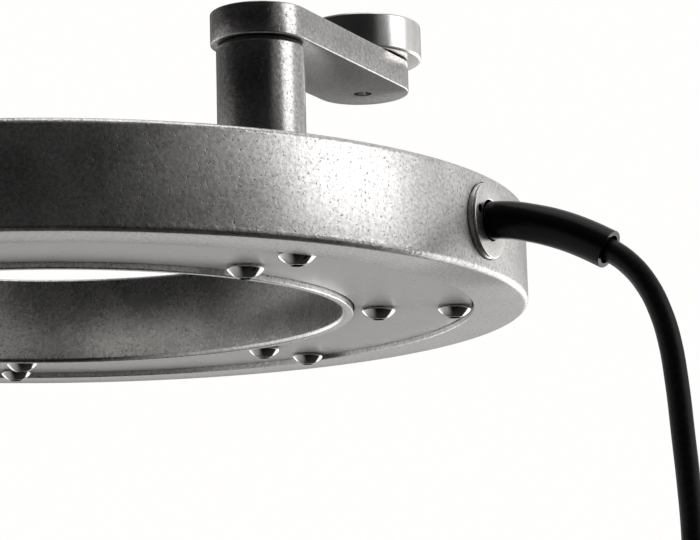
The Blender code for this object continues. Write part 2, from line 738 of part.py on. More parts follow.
def gland():
    face = FLANGE_SEAT + GLAND_FLANGE_THICKNESS
    throat = CORD_RADIUS + FIT_GAP
    groove_front = face - GLAND_FRONT_LIP
    groove_back = groove_front - GLAND_GROOVE_WIDTH
    groove_radius = GLAND_FLANGE_RADIUS - GLAND_GROOVE_DEPTH
    profile = [
        (GLAND_BORE_RADIUS, face),
        (GLAND_FLANGE_RADIUS - GLAND_FLANGE_CHAMFER, face),
        (GLAND_FLANGE_RADIUS, face - GLAND_FLANGE_CHAMFER),
        (GLAND_FLANGE_RADIUS, groove_front),
        (groove_radius, groove_front),
        (groove_radius, groove_back),
        (GLAND_FLANGE_RADIUS, groove_back),
        (GLAND_FLANGE_RADIUS, FLANGE_SEAT),
        (GLAND_THREAD_RADIUS, FLANGE_SEAT),
        (GLAND_THREAD_RADIUS, GLAND_END),
        (throat, GLAND_END),
        (throat, THROAT_SEAT),
        (GLAND_BORE_RADIUS, THROAT_SEAT),
    ]
    bush = turned("gland_bush", profile, MEDIUM_ROUND, closed=True)
    bush.rotation_euler = (0, math.radians(90), 0)
    shown(bush, GLAND, (0.75, 0.74, 0.71), 0.14, 1.0)
    hole = prism("", PIN_ROUND, SPANNER_HOLE_RADIUS, face - SPANNER_HOLE_DEPTH, face + CUT_OVERRUN)
    circle = GLAND_BORE_RADIUS + SPANNER_HOLE_MARGIN + SPANNER_HOLE_RADIUS
    tilt = Matrix.Rotation(math.radians(-SPANNER_HOLE_TILT), 4, "Z")
    sides = [tilt @ Matrix.Translation((0, side * circle, 0)) for side in (1, -1)]
    holes = pattern("spanner_holes", hole, sides)
    holes.rotation_euler = (0, math.radians(90), 0)
    cut(bush, cutter(holes, GLAND))
    seal_end = SEAL_INNER_END + SEAL_LENGTH
    seal_profile = washer_profile(throat, SLEEVE_RADIUS, SEAL_INNER_END, seal_end)
    seal = turned("gland_seal", seal_profile, SMALL_ROUND, closed=True)
    seal.rotation_euler = (0, math.radians(90), 0)
    shown(seal, GLAND, (0.02, 0.02, 0.02), 0.7, 0.0)


def route(inside_end, count):
    """Straight out of the gland from inside_end, then along the first points of the cord's route."""
    inside = [(inside_end, 0, 0), (inside_end / 2, 0, 0)]
    return inside + [(out, 0, -down) for out, down in CORD_ROUTE[:count]]


def sleeve():
    """A thick glossy sleeve that follows the cord out of the gland, cut off square."""
    line = smooth_line(route(SLEEVE_INSIDE_END, SLEEVE_POINTS), SLEEVE_RADIUS)
    piece = welded(tube("strain_relief_sleeve", line, SLEEVE_RADIUS, 3, capped=False))
    wall = piece.modifiers.new("wall", "SOLIDIFY")
    wall.thickness = SLEEVE_WALL
    wall.offset = -1
    shown(piece, GLAND, (0.012, 0.012, 0.013), 0.18, 0.0)


def coil_line():
    """The coil's line in the gland's frame: in from above, the loops, and the tail down."""
    pitch = CORD_DIAMETER + COIL_LOOP_GAP
    spread = COIL_LOOPS / COIL_LAYERS * pitch
    outer = COIL_MEAN_RADIUS + spread / 2
    reach = outer + COIL_ENTRY_BEND
    drop = math.sqrt(reach**2 - COIL_ENTRY_BEND**2)
    entry = math.atan2(drop, COIL_ENTRY_BEND)
    lead_out, lead_down = CORD_ROUTE[-1]
    start = Vector((lead_out, 0, -lead_down - FIT_GAP))
    centre = start + Vector((0, 0, -CORD_DIAMETER - drop))
    bend_steps = round(LOOP_POINTS * entry / math.tau)
    line = [start]
    for i in range(bend_steps):
        a = entry * i / bend_steps
        across = COIL_ENTRY_BEND * (1 - math.cos(a))
        line.append(centre + Vector((across, 0, drop - COIL_ENTRY_BEND * math.sin(a))))
    loops = COIL_LOOPS + entry / math.tau
    count = round(loops * LOOP_POINTS)
    per_layer = loops / COIL_LAYERS
    for i in range(count + 1):
        turn = loops * i / count
        angle = entry - math.tau * turn
        layer, part = divmod(min(turn / per_layer, COIL_LAYERS - 0.000001), 1)
        inward = part if layer % 2 == 0 else 1 - part
        radius = outer - spread * inward
        line.append(
            centre
            + Vector(
                (
                    radius * math.cos(angle),
                    layer_height(turn, per_layer) * pitch,
                    radius * math.sin(angle),
                )
            )
        )
    line.append(line[-1] + Vector((0, 0, -COIL_TAIL)))
    return line, centre, outer, spread, pitch


def layer_height(turn, per_layer):
    """Which layer a loop lies on: it climbs in the half turn where the spiral reverses."""
    height = 0.0
    for change in range(1, COIL_LAYERS):
        share = (turn - change * per_layer) * 2 + 0.5
        share = min(max(share, 0), 1)
        height += share * share * (3 - 2 * share)
    return height


def least_gap(line, diameter):
    """The least room between two stretches of one line, more than half a loop apart along it."""
    points = np.array([tuple(p) for p in line])
    apart = np.linalg.norm(points[:, None] - points[None], axis=2)
    index = np.arange(len(points))
    far = np.abs(index[:, None] - index[None]) > LOOP_POINTS / 2
    return float(apart[far].min()) - diameter


def cord():
    lead = smooth_line(route(CORD_INSIDE_END, len(CORD_ROUTE)), 2 * CORD_DIAMETER)
    shown(tube("cord_lead", lead, CORD_RADIUS, 2), GLAND, (0.015, 0.015, 0.016), 0.4, 0.0)
    line, centre, outer, spread, pitch = coil_line()
    shown(tube("cord_coil", line, CORD_RADIUS, 1), GLAND, (0.015, 0.015, 0.016), 0.4, 0.0)
    print(f"least gap of the coil to itself: {least_gap(line, CORD_DIAMETER) * 1000:.2f} mm")
    print(f"cord: lead {line_length(lead):.3f} m, coil {line_length(line):.3f} m")
    tie(centre, outer, spread, pitch)
    connector(line[-1])


def tie(centre, outer, spread, pitch):
    """A strap round the whole bundle, just below where the lead joins it."""
    middle = (outer - spread / 2, (COIL_LAYERS - 1) * pitch / 2)
    half_x = spread / 2 + CORD_RADIUS + TIE_CLEARANCE
    half_y = middle[1] + CORD_RADIUS + TIE_CLEARANCE
    inner = rounded_rectangle(half_x, half_y, TIE_CORNER - TIE_THICKNESS, middle)
    wide = rounded_rectangle(half_x + TIE_THICKNESS, half_y + TIE_THICKNESS, TIE_CORNER, middle)
    strap = welded(flat_outline("coil_tie", (wide, inner), TIE_WIDTH))
    angle = math.radians(TIE_DEGREES)
    along = Matrix.Rotation(-angle, 4, "Y")
    strap.data.transform(Matrix.Translation(centre) @ along)
    shown(strap, GLAND, (0.02, 0.02, 0.02), 0.9, 0.0)


def connector(end):
    top = end.z - FIT_GAP
    cone = top - GRIP_CONE
    grip_end = top - GRIP_LENGTH
    collar_end = grip_end - GRIP_COLLAR_LENGTH
    grip_profile = [
        (0, top),
        (CORD_RADIUS + GRIP_NECK_WALL, top),
        (GRIP_RADIUS, cone),
        (GRIP_RADIUS, grip_end),
        (GRIP_COLLAR_RADIUS, grip_end),
        (GRIP_COLLAR_RADIUS, collar_end),
        (0, collar_end),
    ]
    grip = turned("connector_grip", grip_profile, SMALL_ROUND)
    nut_top = grip_end - FIT_GAP
    nut_step = nut_top - NUT_GRIP_LENGTH
    nut_end = nut_step - NUT_THREAD_LENGTH
    nut_bore = GRIP_COLLAR_RADIUS + FIT_GAP
    nut_radius = GRIP_RADIUS + NUT_PROUD
    thread_radius = nut_bore + NUT_THREAD_WALL
    nut_profile = [
        (nut_radius - NUT_EDGE, nut_top),
        (nut_radius, nut_top - NUT_EDGE),
        (nut_radius, nut_step + NUT_EDGE),
        (nut_radius - NUT_EDGE, nut_step),
        (thread_radius, nut_step),
        (thread_radius, nut_end),
        (nut_bore, nut_end),
        (nut_bore, nut_top),
    ]
    nut = turned("connector_nut", nut_profile, SMALL_ROUND, closed=True)
    carrier_top = collar_end - FIT_GAP
    carrier_end = nut_end + CARRIER_RECESS
    carrier_profile = rod_profile(
        GRIP_COLLAR_RADIUS - CARRIER_INSET, carrier_end, carrier_top
    )
    carrier = turned("connector_carrier", carrier_profile, SMALL_ROUND)
    for piece, colour, roughness, metallic in (
        (grip, (0.02, 0.02, 0.02), 0.5, 0.0),
        (nut, (0.7, 0.69, 0.66), 0.25, 1.0),
        (carrier, (0.03, 0.03, 0.03), 0.5, 0.0),
    ):
        piece.location = (end.x, end.y, 0)
        shown(piece, GLAND, colour, roughness, metallic)
    pin = prism("", PIN_ROUND, PIN_RADIUS, PIN_SEATED - PIN_LENGTH, PIN_SEATED)
    hole = prism("", PIN_ROUND, PIN_RADIUS + FIT_GAP, -CUT_OVERRUN, PIN_SEATED + FIT_GAP)
    face = Vector((end.x, end.y, carrier_end))
    places = [
        Matrix.Translation(face + around(PIN_CIRCLE, 45 + 360 * i / PIN_COUNT))
        for i in range(PIN_COUNT)
    ]
    cut(carrier, cutter(pattern("pin_holes", hole, places), GLAND))
    repeated("connector_pin", mesh_of(pin), places, GLAND, (0.8, 0.6, 0.25), 0.25, 1.0)


def post():
    seat = RING_TOP + FIT_GAP
    spigot_end = RING_TOP - SPIGOT_LENGTH
    hole = PIVOT_THREAD_RADIUS + FIT_GAP
    hole_end = POST_TOP - PIVOT_THREAD_LENGTH - PIVOT_HOLE_SPARE
    profile = [
        (hole, POST_TOP),
        (POST_RADIUS - POST_EDGE, POST_TOP),
        (POST_RADIUS, POST_TOP - POST_EDGE),
        (POST_RADIUS, seat),
        (SPIGOT_RADIUS, seat),
        (SPIGOT_RADIUS, spigot_end + SPIGOT_CHAMFER),
        (SPIGOT_RADIUS - SPIGOT_CHAMFER, spigot_end),
        (0, spigot_end),
    ]
    floor = [(0, hole_end), (hole, hole_end)]
    piece = turned("ring_post", floor + profile, MEDIUM_ROUND)
    shown(piece, PIVOT, (0.50, 0.49, 0.48), 0.35, 1.0)


def arm():
    """The arm's own Y runs from the post to the foot, which is at its origin."""
    outline = arc((0, 0), ARM_END_RADIUS, 0, 180, MEDIUM_ROUND // 2)
    outline += arc((0, -ARM_LENGTH), ARM_END_RADIUS, 180, 360, MEDIUM_ROUND // 2)
    bar = welded(flat_outline("arm_link", (outline,), ARM_THICKNESS))
    bar.location = (0, 0, (ARM_TOP + ARM_BOTTOM) / 2)
    shown(bar, ARM, (0.58, 0.57, 0.56), 0.42, 1.0)
    edge = bar.modifiers.new("edges", "BEVEL")
    edge.width = ARM_EDGE
    edge.segments = 1
    edge.limit_method = "ANGLE"
    edge.angle_limit = math.radians(60)
    bush_hole = PIVOT_SHOULDER_RADIUS + BUSH_WALL + 2 * FIT_GAP
    counterbore = PIVOT_HEAD_RADIUS + 2 * FIT_GAP
    floor = pivot_floor()
    profile = [
        (0, ARM_TOP + CUT_OVERRUN),
        (counterbore, ARM_TOP + CUT_OVERRUN),
        (counterbore, floor),
        (bush_hole, floor),
        (bush_hole, ARM_BOTTOM - CUT_OVERRUN),
        (0, ARM_BOTTOM - CUT_OVERRUN),
    ]
    hole = turned("pivot_hole", profile, PIVOT_ROUND)
    hole.location = (0, -ARM_LENGTH, 0)
    cut(bar, cutter(hole, ARM))
    low = ARM_BOTTOM - CUT_OVERRUN
    tapped = prism("stud_hole", SMALL_ROUND, STUD_RADIUS + FIT_GAP, low, ARM_TOP + CUT_OVERRUN)
    cut(bar, cutter(tapped, ARM))


def pivot_floor():
    """The floor of the arm's counterbore, under the head and its disc spring."""
    spring = PIVOT_SPRING_THICKNESS + PIVOT_SPRING_RISE
    return ARM_TOP - PIVOT_HEAD_HEIGHT - spring - 3 * FIT_GAP


def pivot():
    floor = pivot_floor()
    bush_inner = PIVOT_SHOULDER_RADIUS + FIT_GAP
    bush_profile = washer_profile(bush_inner, bush_inner + BUSH_WALL, ARM_BOTTOM, floor)
    bush = turned("pivot_bush", bush_profile, PIVOT_ROUND, closed=True)
    bush.location = (0, -ARM_LENGTH, 0)
    shown(bush, ARM, (0.35, 0.27, 0.12), 0.4, 0.6)
    spring_low = floor + FIT_GAP
    spring_outer = PIVOT_HEAD_RADIUS
    spring_profile = [
        (spring_outer, spring_low + PIVOT_SPRING_THICKNESS),
        (spring_outer, spring_low),
        (bush_inner, spring_low + PIVOT_SPRING_RISE),
        (bush_inner, spring_low + PIVOT_SPRING_RISE + PIVOT_SPRING_THICKNESS),
    ]
    spring = turned("pivot_disc_spring", spring_profile, PIVOT_ROUND, closed=True)
    shown(spring, PIVOT, (0.45, 0.45, 0.44), 0.3, 1.0)
    washer_low = POST_WASHER_TOP - POST_WASHER_THICKNESS
    flat_profile = washer_profile(bush_inner, POST_WASHER_RADIUS, washer_low, POST_WASHER_TOP)
    washer = turned("post_washer", flat_profile, PIVOT_ROUND, closed=True)
    shown(washer, PIVOT, (0.04, 0.04, 0.04), 0.5, 0.0)
    head_top = ARM_TOP - FIT_GAP
    head_low = head_top - PIVOT_HEAD_HEIGHT
    shoulder_end = POST_TOP + FIT_GAP
    thread_end = shoulder_end - PIVOT_THREAD_LENGTH
    screw_profile = [
        (0, head_top),
        (PIVOT_HEAD_RADIUS, head_top),
        (PIVOT_HEAD_RADIUS, head_low),
        (PIVOT_SHOULDER_RADIUS, head_low),
        (PIVOT_SHOULDER_RADIUS, shoulder_end),
        (PIVOT_THREAD_RADIUS, shoulder_end),
        (PIVOT_THREAD_RADIUS, thread_end),
        (0, thread_end),
    ]
    screw = turned("pivot_screw", screw_profile, PIVOT_ROUND)
    shown(screw, PIVOT, (0.66, 0.65, 0.63), 0.12, 1.0)
    pocket = socket("pivot_socket", PIVOT_SOCKET_WIDTH, PIVOT_SOCKET_DEPTH, head_top)
    cut(screw, cutter(pocket, PIVOT))


def foot():
    bore = FOOT_RADIUS - POT_WALL
    floor = FOOT_BOTTOM + POT_FLOOR
    recess = FOOT_BOTTOM + FOOT_WASHER_THICKNESS + FIT_GAP
    recess_radius = FOOT_WASHER_RADIUS + FIT_GAP
    stud_hole = STUD_RADIUS + FIT_GAP
    profile = [
        (bore, 0),
        (FOOT_RADIUS - FOOT_CHAMFER, 0),
        (FOOT_RADIUS, -FOOT_CHAMFER),
        (FOOT_RADIUS, FOOT_BOTTOM + FOOT_CHAMFER),
        (FOOT_RADIUS - FOOT_CHAMFER, FOOT_BOTTOM),
        (recess_radius, FOOT_BOTTOM),
        (recess_radius, recess),
        (stud_hole, recess),
        (stud_hole, floor),
        (bore, floor),
    ]
    pot = turned("magnet_pot", profile, MEDIUM_ROUND, closed=True)
    shown(pot, None, (0.55, 0.54, 0.52), 0.25, 1.0)
    resin_outer = bore - FIT_GAP
    resin_inner = resin_outer - RESIN_THICKNESS
    magnet_low = floor + FIT_GAP
    resin_profile = washer_profile(resin_inner, resin_outer, magnet_low, -FIT_GAP)
    resin = turned("magnet_resin", resin_profile, MEDIUM_ROUND, closed=True)
    shown(resin, None, (0.05, 0.05, 0.05), 0.5, 0.0)
    magnet_profile = rod_profile(resin_inner - FIT_GAP, magnet_low, 0)
    magnet = turned("magnet_disc", magnet_profile, MEDIUM_ROUND)
    shown(magnet, None, (0.62, 0.61, 0.60), 0.3, 1.0)
    stud_profile = rod_profile(STUD_RADIUS, ARM_BOTTOM + STUD_SHORT_OF_ARM, floor)
    stud = turned("foot_stud", stud_profile, SMALL_ROUND)
    shown(stud, None, (0.6, 0.6, 0.58), 0.3, 1.0)
    washer_low = FOOT_BOTTOM
    ring_profile = washer_profile(
        stud_hole, FOOT_WASHER_RADIUS, washer_low, washer_low + FOOT_WASHER_THICKNESS
    )
    washer = turned("foot_washer", ring_profile, PIVOT_ROUND, closed=True)
    shown(washer, ARM, (0.04, 0.04, 0.04), 0.5, 0.0)


def shade_round_pieces():
    for piece in LAMP.objects:
        if piece.type == "MESH" and not any(m.type == "SCREW" for m in piece.modifiers):
            piece.data.set_sharp_from_angle(angle=math.radians(35))


clear_scene()
LAMP = collection_named("led_machine_lamp")
CUTTERS = collection_named("cutters")
ARM = frame("arm_swivel_axis", None, (0, 0, 0), -ARM_DEGREES)
PIVOT = frame("ring_swivel_axis", ARM, (0, -ARM_LENGTH, 0), ARM_DEGREES)
POST_PLACE = around(POST_CIRCLE, POST_DEGREES)
RING = frame("ring_centre", PIVOT, (-POST_PLACE.x, -POST_PLACE.y, RING_BOTTOM))
GLAND_PLACE = around(RING_RADIUS, GLAND_DEGREES, GLAND_HEIGHT)
GLAND = frame("gland_axis", RING, GLAND_PLACE, GLAND_DEGREES - 90)

foot()
arm()
pivot()
post()
housing()
cover()
cover_screws()
light_engine()
wiring()
gland()
sleeve()
cord()
shade_round_pieces()
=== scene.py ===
import math

import bmesh
import bpy
from mathutils import Matrix, Vector


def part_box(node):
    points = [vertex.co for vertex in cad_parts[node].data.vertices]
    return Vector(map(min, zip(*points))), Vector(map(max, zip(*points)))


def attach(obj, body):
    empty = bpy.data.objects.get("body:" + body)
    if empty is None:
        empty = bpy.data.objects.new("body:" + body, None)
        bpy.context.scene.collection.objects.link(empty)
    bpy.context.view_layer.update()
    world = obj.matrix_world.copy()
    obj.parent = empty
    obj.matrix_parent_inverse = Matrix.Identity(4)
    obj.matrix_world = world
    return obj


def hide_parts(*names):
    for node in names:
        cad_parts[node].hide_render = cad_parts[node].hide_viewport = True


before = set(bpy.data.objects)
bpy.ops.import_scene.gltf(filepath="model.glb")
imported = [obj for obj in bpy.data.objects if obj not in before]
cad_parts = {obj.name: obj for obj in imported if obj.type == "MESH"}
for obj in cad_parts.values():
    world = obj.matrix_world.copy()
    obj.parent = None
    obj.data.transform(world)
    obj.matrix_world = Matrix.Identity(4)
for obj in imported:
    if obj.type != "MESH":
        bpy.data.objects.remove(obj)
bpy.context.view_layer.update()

# Camera: below the lamp and in front of its near right side, looking up by ten degrees,
# with a long lens, as the photograph was taken.
heading = 0.127
looking_up = 0.1759
roll = -0.0263
level_ahead = Vector((math.sin(heading), math.cos(heading), 0))
ahead = math.cos(looking_up) * level_ahead + Vector((0, 0, math.sin(looking_up)))
level = Vector((math.cos(heading), -math.sin(heading), 0))
upright = level.cross(ahead)
right = math.cos(roll) * level + math.sin(roll) * upright
up = math.cos(roll) * upright - math.sin(roll) * level
camera = bpy.data.objects.new("camera", bpy.data.cameras.new("camera"))
bpy.context.scene.collection.objects.link(camera)
standpoint = Matrix.Translation((-0.0658, -0.4862, -0.1397))
camera.matrix_world = standpoint @ Matrix((right, up, -ahead)).transposed().to_4x4()
camera.data.lens = 121.88
camera.data.sensor_width = 36
camera.data.clip_start = 0.01
bpy.context.scene.camera = camera

# Studio: a round sheet of pale paper under the lamp and two large soft boxes, in a room that is
# dim in front. Its walls are palest low at the right and the back, with soft panels and bands
# of light on them, which show in the polished and the blasted metal.
bpy.context.scene.view_settings.view_transform = "Standard"
floor_radius = 0.9
floor_height = -0.30


class Field:
    """A socket of a material. Sums of values that change over a surface add their Math nodes."""

    def __init__(self, socket):
        self.socket = socket

    def node(self, kind, settings, inputs, output=0):
        """Any other node: its settings, then the values or links of its sockets."""
        tree = self.socket.id_data
        made = tree.nodes.new(kind)
        for name, value in settings.items():
            setattr(made, name, value)
        for name, value in inputs.items():
            if isinstance(value, Field):
                tree.links.new(value.socket, made.inputs[name])
            else:
                made.inputs[name].default_value = value
        return Field(made.outputs[output])

    def math(self, operation, *values):
        return self.node("ShaderNodeMath", {"operation": operation}, dict(enumerate(values)))

    def __add__(self, other):
        return self.math("ADD", self, other)

    __radd__ = __add__

    def __sub__(self, other):
        return self.math("SUBTRACT", self, other)

    def __rsub__(self, other):
        return self.math("SUBTRACT", other, self)

    def __mul__(self, other):
        return self.math("MULTIPLY", self, other)

    __rmul__ = __mul__

    def sine(self):
        """A wave that rises and falls once while this value grows by a full turn."""
        return self.math("SINE", self)

    def axis(self, number):
        """One of the three numbers of a vector."""
        return self.node("ShaderNodeSeparateXYZ", {}, {0: self}, number)

    def along(self, direction):
        """How far a vector goes in a direction."""
        settings = {"operation": "DOT_PRODUCT"}
        return self.node("ShaderNodeVectorMath", settings, {0: self, 1: direction}, 1)

    def away_from(self, point):
        """The way from a point to this place."""
        return self.node("ShaderNodeVectorMath", {"operation": "SUBTRACT"}, {0: self, 1: point})

    def length(self):
        """How long a vector is."""
        return self.node("ShaderNodeVectorMath", {"operation": "LENGTH"}, {0: self}, 1)

    def between(self, low, high):
        """Nothing at the low value and one at the high value, with a soft change."""
        inputs = {"Value": self, "From Min": low, "From Max": high}
        return self.node("ShaderNodeMapRange", {"interpolation_type": "SMOOTHSTEP"}, inputs)

    def colour(self, low, high):
        """A colour where this mask is nothing, and another where it is one."""
        inputs = {0: self, 6: (*low, 1), 7: (*high, 1)}
        return self.node("ShaderNodeMix", {"data_type": "RGBA"}, inputs, 2)

    def covered(self, mask, high):
        """This colour where a mask is nothing, and another where it is one."""
        inputs = {0: mask, 6: self, 7: (*high, 1)}
        return self.node("ShaderNodeMix", {"data_type": "RGBA"}, inputs, 2)

    def noise(self, scale, detail=2.0, roughness=0.5):
        """Cloudy values about one half, on a place, with that many clouds to a metre."""
        inputs = {"Vector": self, "Scale": scale, "Detail": detail, "Roughness": roughness}
        return self.node("ShaderNodeTexNoise", {}, inputs)

    def stretched(self, stretch, turn=(0, 0, 0)):
        """A place turned and stretched, for a pattern that runs in lines."""
        inputs = {"Vector": self, "Rotation": turn, "Scale": stretch}
        return self.node("ShaderNodeMapping", {"vector_type": "TEXTURE"}, inputs)

    def flattened(self):
        """A place without its height, for a pattern that is the same all the way up."""
        return self.stretched((1, 1, 1e6))

    def into(self, socket):
        self.socket.id_data.links.new(self.socket, socket)

    def relief(self, depth, socket):
        """Raises the surface by this height times a depth in metres."""
        bump = self.node("ShaderNodeBump", {}, {"Height": self, "Distance": depth, "Strength": 1})
        bump.into(socket)


def finish(name, colour, roughness, metallic=0.0):
    """A material, the sockets of its shader, and the place on a piece to lay patterns by."""
    material = bpy.data.materials.new(name)
    material.use_nodes = True
    inputs = material.node_tree.nodes["Principled BSDF"].inputs
    inputs["Base Color"].default_value = (*colour, 1)
    inputs["Roughness"].default_value = roughness
    inputs["Metallic"].default_value = metallic
    return material, inputs, Field(inputs[0]).node("ShaderNodeTexCoord", {}, {}, "Object")


paper, surface, place = finish("paper", (0.90, 0.90, 0.90), 0.9)
surface["Emission Color"].default_value = (0.50, 0.50, 0.50, 1)
surface["Emission Strength"].default_value = 1.0
camera_ray = place.node("ShaderNodeLightPath", {}, {}, "Is Camera Ray")
(place.length().between(0.85, 0.42) * camera_ray).into(surface["Alpha"])
sheet = bmesh.new()
bmesh.ops.create_circle(sheet, cap_ends=True, segments=96, radius=floor_radius)
bmesh.ops.translate(sheet, vec=(0, 0, floor_height), verts=sheet.verts)
sheet_mesh = bpy.data.meshes.new("floor")
sheet.to_mesh(sheet_mesh)
sheet.free()
sheet_mesh.materials.append(paper)
floor = bpy.data.objects.new("floor", sheet_mesh)
bpy.context.scene.collection.objects.link(floor)

world = bpy.data.worlds.new("studio")
bpy.context.scene.world = world
world.use_nodes = True
background = world.node_tree.nodes["Background"].inputs
background["Color"].default_value = (1.0, 0.994, 0.988, 1)
direction = Field(background["Color"]).node("ShaderNodeTexCoord", {}, {}, "Generated")


def glow(strength, azimuth, elevation, edge, heart):
    """Light from round a direction, which is given by its angles from the near side towards the
    right and up. It starts at the edge and is full at the heart, both as cosines."""
    turn, climb = math.radians(azimuth), math.radians(elevation)
    level_reach = math.cos(climb)
    towards = (math.sin(turn) * level_reach, -math.cos(turn) * level_reach, math.sin(climb))
    return strength * direction.along(towards).between(edge, heart)


rise = direction.axis(2)
under = rise.between(0.10, -0.08)
above = rise.between(0.12, 0.21)
low_walls = (0.03 + glow(0.55, 150, 0, -0.8, 0.9)) * (1 - 0.92 * rise.between(-0.36, -0.62))
low_panels = (
    glow(0.55, -105, -15, 0.35, 0.9)
    + glow(2.0, 131, -14, 0.90, 0.94)
    + glow(0.5, 95, -8, 0.92, 0.98)
    + glow(0.20, 160, -10, 0.88, 0.985)
    + glow(1.5, -153, -18, 0.975, 0.992)
)
left_band = glow(0.32, -120, 3, 0.60, 0.95) * rise.between(0.22, 0.19)
right_band = glow(0.28, 118, 6, 0.88, 0.97) * rise.between(0.26, 0.20)
high_walls = (
    0.01
    + glow(0.32, 125, 10, -0.1, 0.95)
    + glow(0.38, 88, 12, 0.88, 0.985)
    + glow(0.22, 50, 12, 0.85, 0.97)
    + glow(0.12, -145, 15, 0.6, 1.0)
    + glow(0.4, 140, 45, 0.7, 0.95)
    + 0.15 * rise.between(0.35, 1.0)
)
shade_behind = 1 - glow(0.9, 177, 10, 0.91, 0.98)
walls = low_walls * (1 - above) + high_walls * above + (left_band + right_band)
surround = walls * shade_behind + low_panels * under
camera_ray = direction.node("ShaderNodeLightPath", {}, {}, "Is Camera Ray")
(surround * (1 - camera_ray) + camera_ray).into(background["Strength"])

lamp_middle = Vector((-0.05, -0.02, -0.04))
for name, spot, watts, width, height in (
    ("right_softbox", Vector((0.92, -0.38, 0.38)), 2.31, 0.60, 0.70),
    ("top_softbox", Vector((0.08, -0.05, 0.90)), 1.3, 0.60, 0.60),
):
    softbox = bpy.data.lights.new(name, "AREA")
    softbox.shape = "RECTANGLE"
    softbox.size = width
    softbox.size_y = height
    softbox.energy = watts
    light = bpy.data.objects.new(name, softbox)
    bpy.context.scene.collection.objects.link(light)
    light.location = spot
    light.rotation_euler = (spot - lamp_middle).to_track_quat("Z", "Y").to_euler()

# Magnet foot: a nickel-plated steel pot, turned, with a disc magnet that black resin holds in
# it. A threaded stud screws it into the arm, against a fibre washer.
pot_radius = 0.0127
pot_height = 0.0078
recess_radius = 0.0097
magnet_radius = 0.0084
magnet_bottom = -0.0045
stud_hole_radius = 0.0019
fine_steps = 128


def rounded(bm, corners, size, segments):
    """Rounds corners of a section, while it is still a line."""
    bmesh.ops.bevel(
        bm,
        geom=corners,
        offset=size,
        offset_type="OFFSET",
        segments=segments,
        profile=0.5,
        affect="VERTICES",
        material=-1,
    )


def turned(corners, steps):
    """A round mesh about Z, from its section's corners as radius, height and rounding."""
    bm = bmesh.new()
    verts = [bm.verts.new((radius, 0, height)) for radius, height, rounding in corners]
    for pair in zip(verts, verts[1:]):
        bm.edges.new(pair)
    if corners[0][0] > 0:
        bm.edges.new((verts[-1], verts[0]))
    for vert, (radius, height, rounding) in zip(verts, corners):
        if rounding:
            rounded(bm, [vert], rounding, 5)
    bmesh.ops.spin(
        bm,
        geom=bm.verts[:] + bm.edges[:],
        cent=(0, 0, 0),
        axis=(0, 0, 1),
        angle=math.tau,
        steps=steps,
        use_merge=True,
        use_duplicate=False,
    )
    bmesh.ops.remove_doubles(bm, verts=bm.verts, dist=0.0000001)
    bmesh.ops.recalc_face_normals(bm, faces=bm.faces)
    return bm


def fitted(name, bm, place, material, body, slot, *nodes):
    """Makes a piece of a shape, which rides on a body and stands for the part's own solids."""
    mesh = bpy.data.meshes.new(name)
    bm.to_mesh(mesh)
    bm.free()
    mesh.transform(place)
    mesh.shade_smooth()
    mesh.set_sharp_from_angle(angle=math.radians(32))
    mesh.materials.append(material)
    piece = bpy.data.objects.new(name, mesh)
    bpy.context.scene.collection.objects.link(piece)
    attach(piece, body)
    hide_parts(*nodes)
    return piece


def dressed(material, *nodes):
    """Gives solids of the part, whose shape is right, a better material."""
    for node in nodes:
        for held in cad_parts[node].material_slots:
            held.material = material


def mottled(surface, mask, dark, pale, low=0.3, high=0.7):
    """Colours a surface dark where a mask is low and pale where it is high."""
    mask.between(low, high).colour(dark, pale).into(surface["Base Color"])


plating, surface, place = finish("satin_nickel", (0.80, 0.79, 0.775), 0.30, 1.0)
from_middle = place.flattened().length()
lathe = from_middle.node("ShaderNodeCombineXYZ", {}, {0: from_middle, 2: place.axis(2)})
rings = lathe.noise(9000, 3)
clouds = place.noise(160, 3)
mottled(surface, clouds, (0.74, 0.73, 0.715), (0.86, 0.85, 0.835))
(0.17 + 0.06 * clouds + 0.05 * rings).into(surface["Roughness"])
(rings * 0.4 + place.noise(2200, 2)).relief(0.00002, surface["Normal"])

resin_black, surface, place = finish("potting_resin", (0.02, 0.02, 0.021), 0.35)
mottled(surface, place.noise(500, 3), (0.014, 0.014, 0.015), (0.03, 0.03, 0.03))
(0.25 + 0.25 * place.noise(900, 2)).into(surface["Roughness"])
place.noise(700, 2).relief(0.00006, surface["Normal"])

ground, surface, place = finish("ground_magnet", (0.60, 0.59, 0.58), 0.25, 1.0)
scratches = place.stretched((0.02, 1, 1), (0, 0, 0.6)).noise(2600, 3)
mottled(surface, scratches, (0.50, 0.49, 0.48), (0.68, 0.67, 0.66), 0.3, 0.75)
(0.18 + 0.22 * scratches).into(surface["Roughness"])
scratches.relief(0.000006, surface["Normal"])

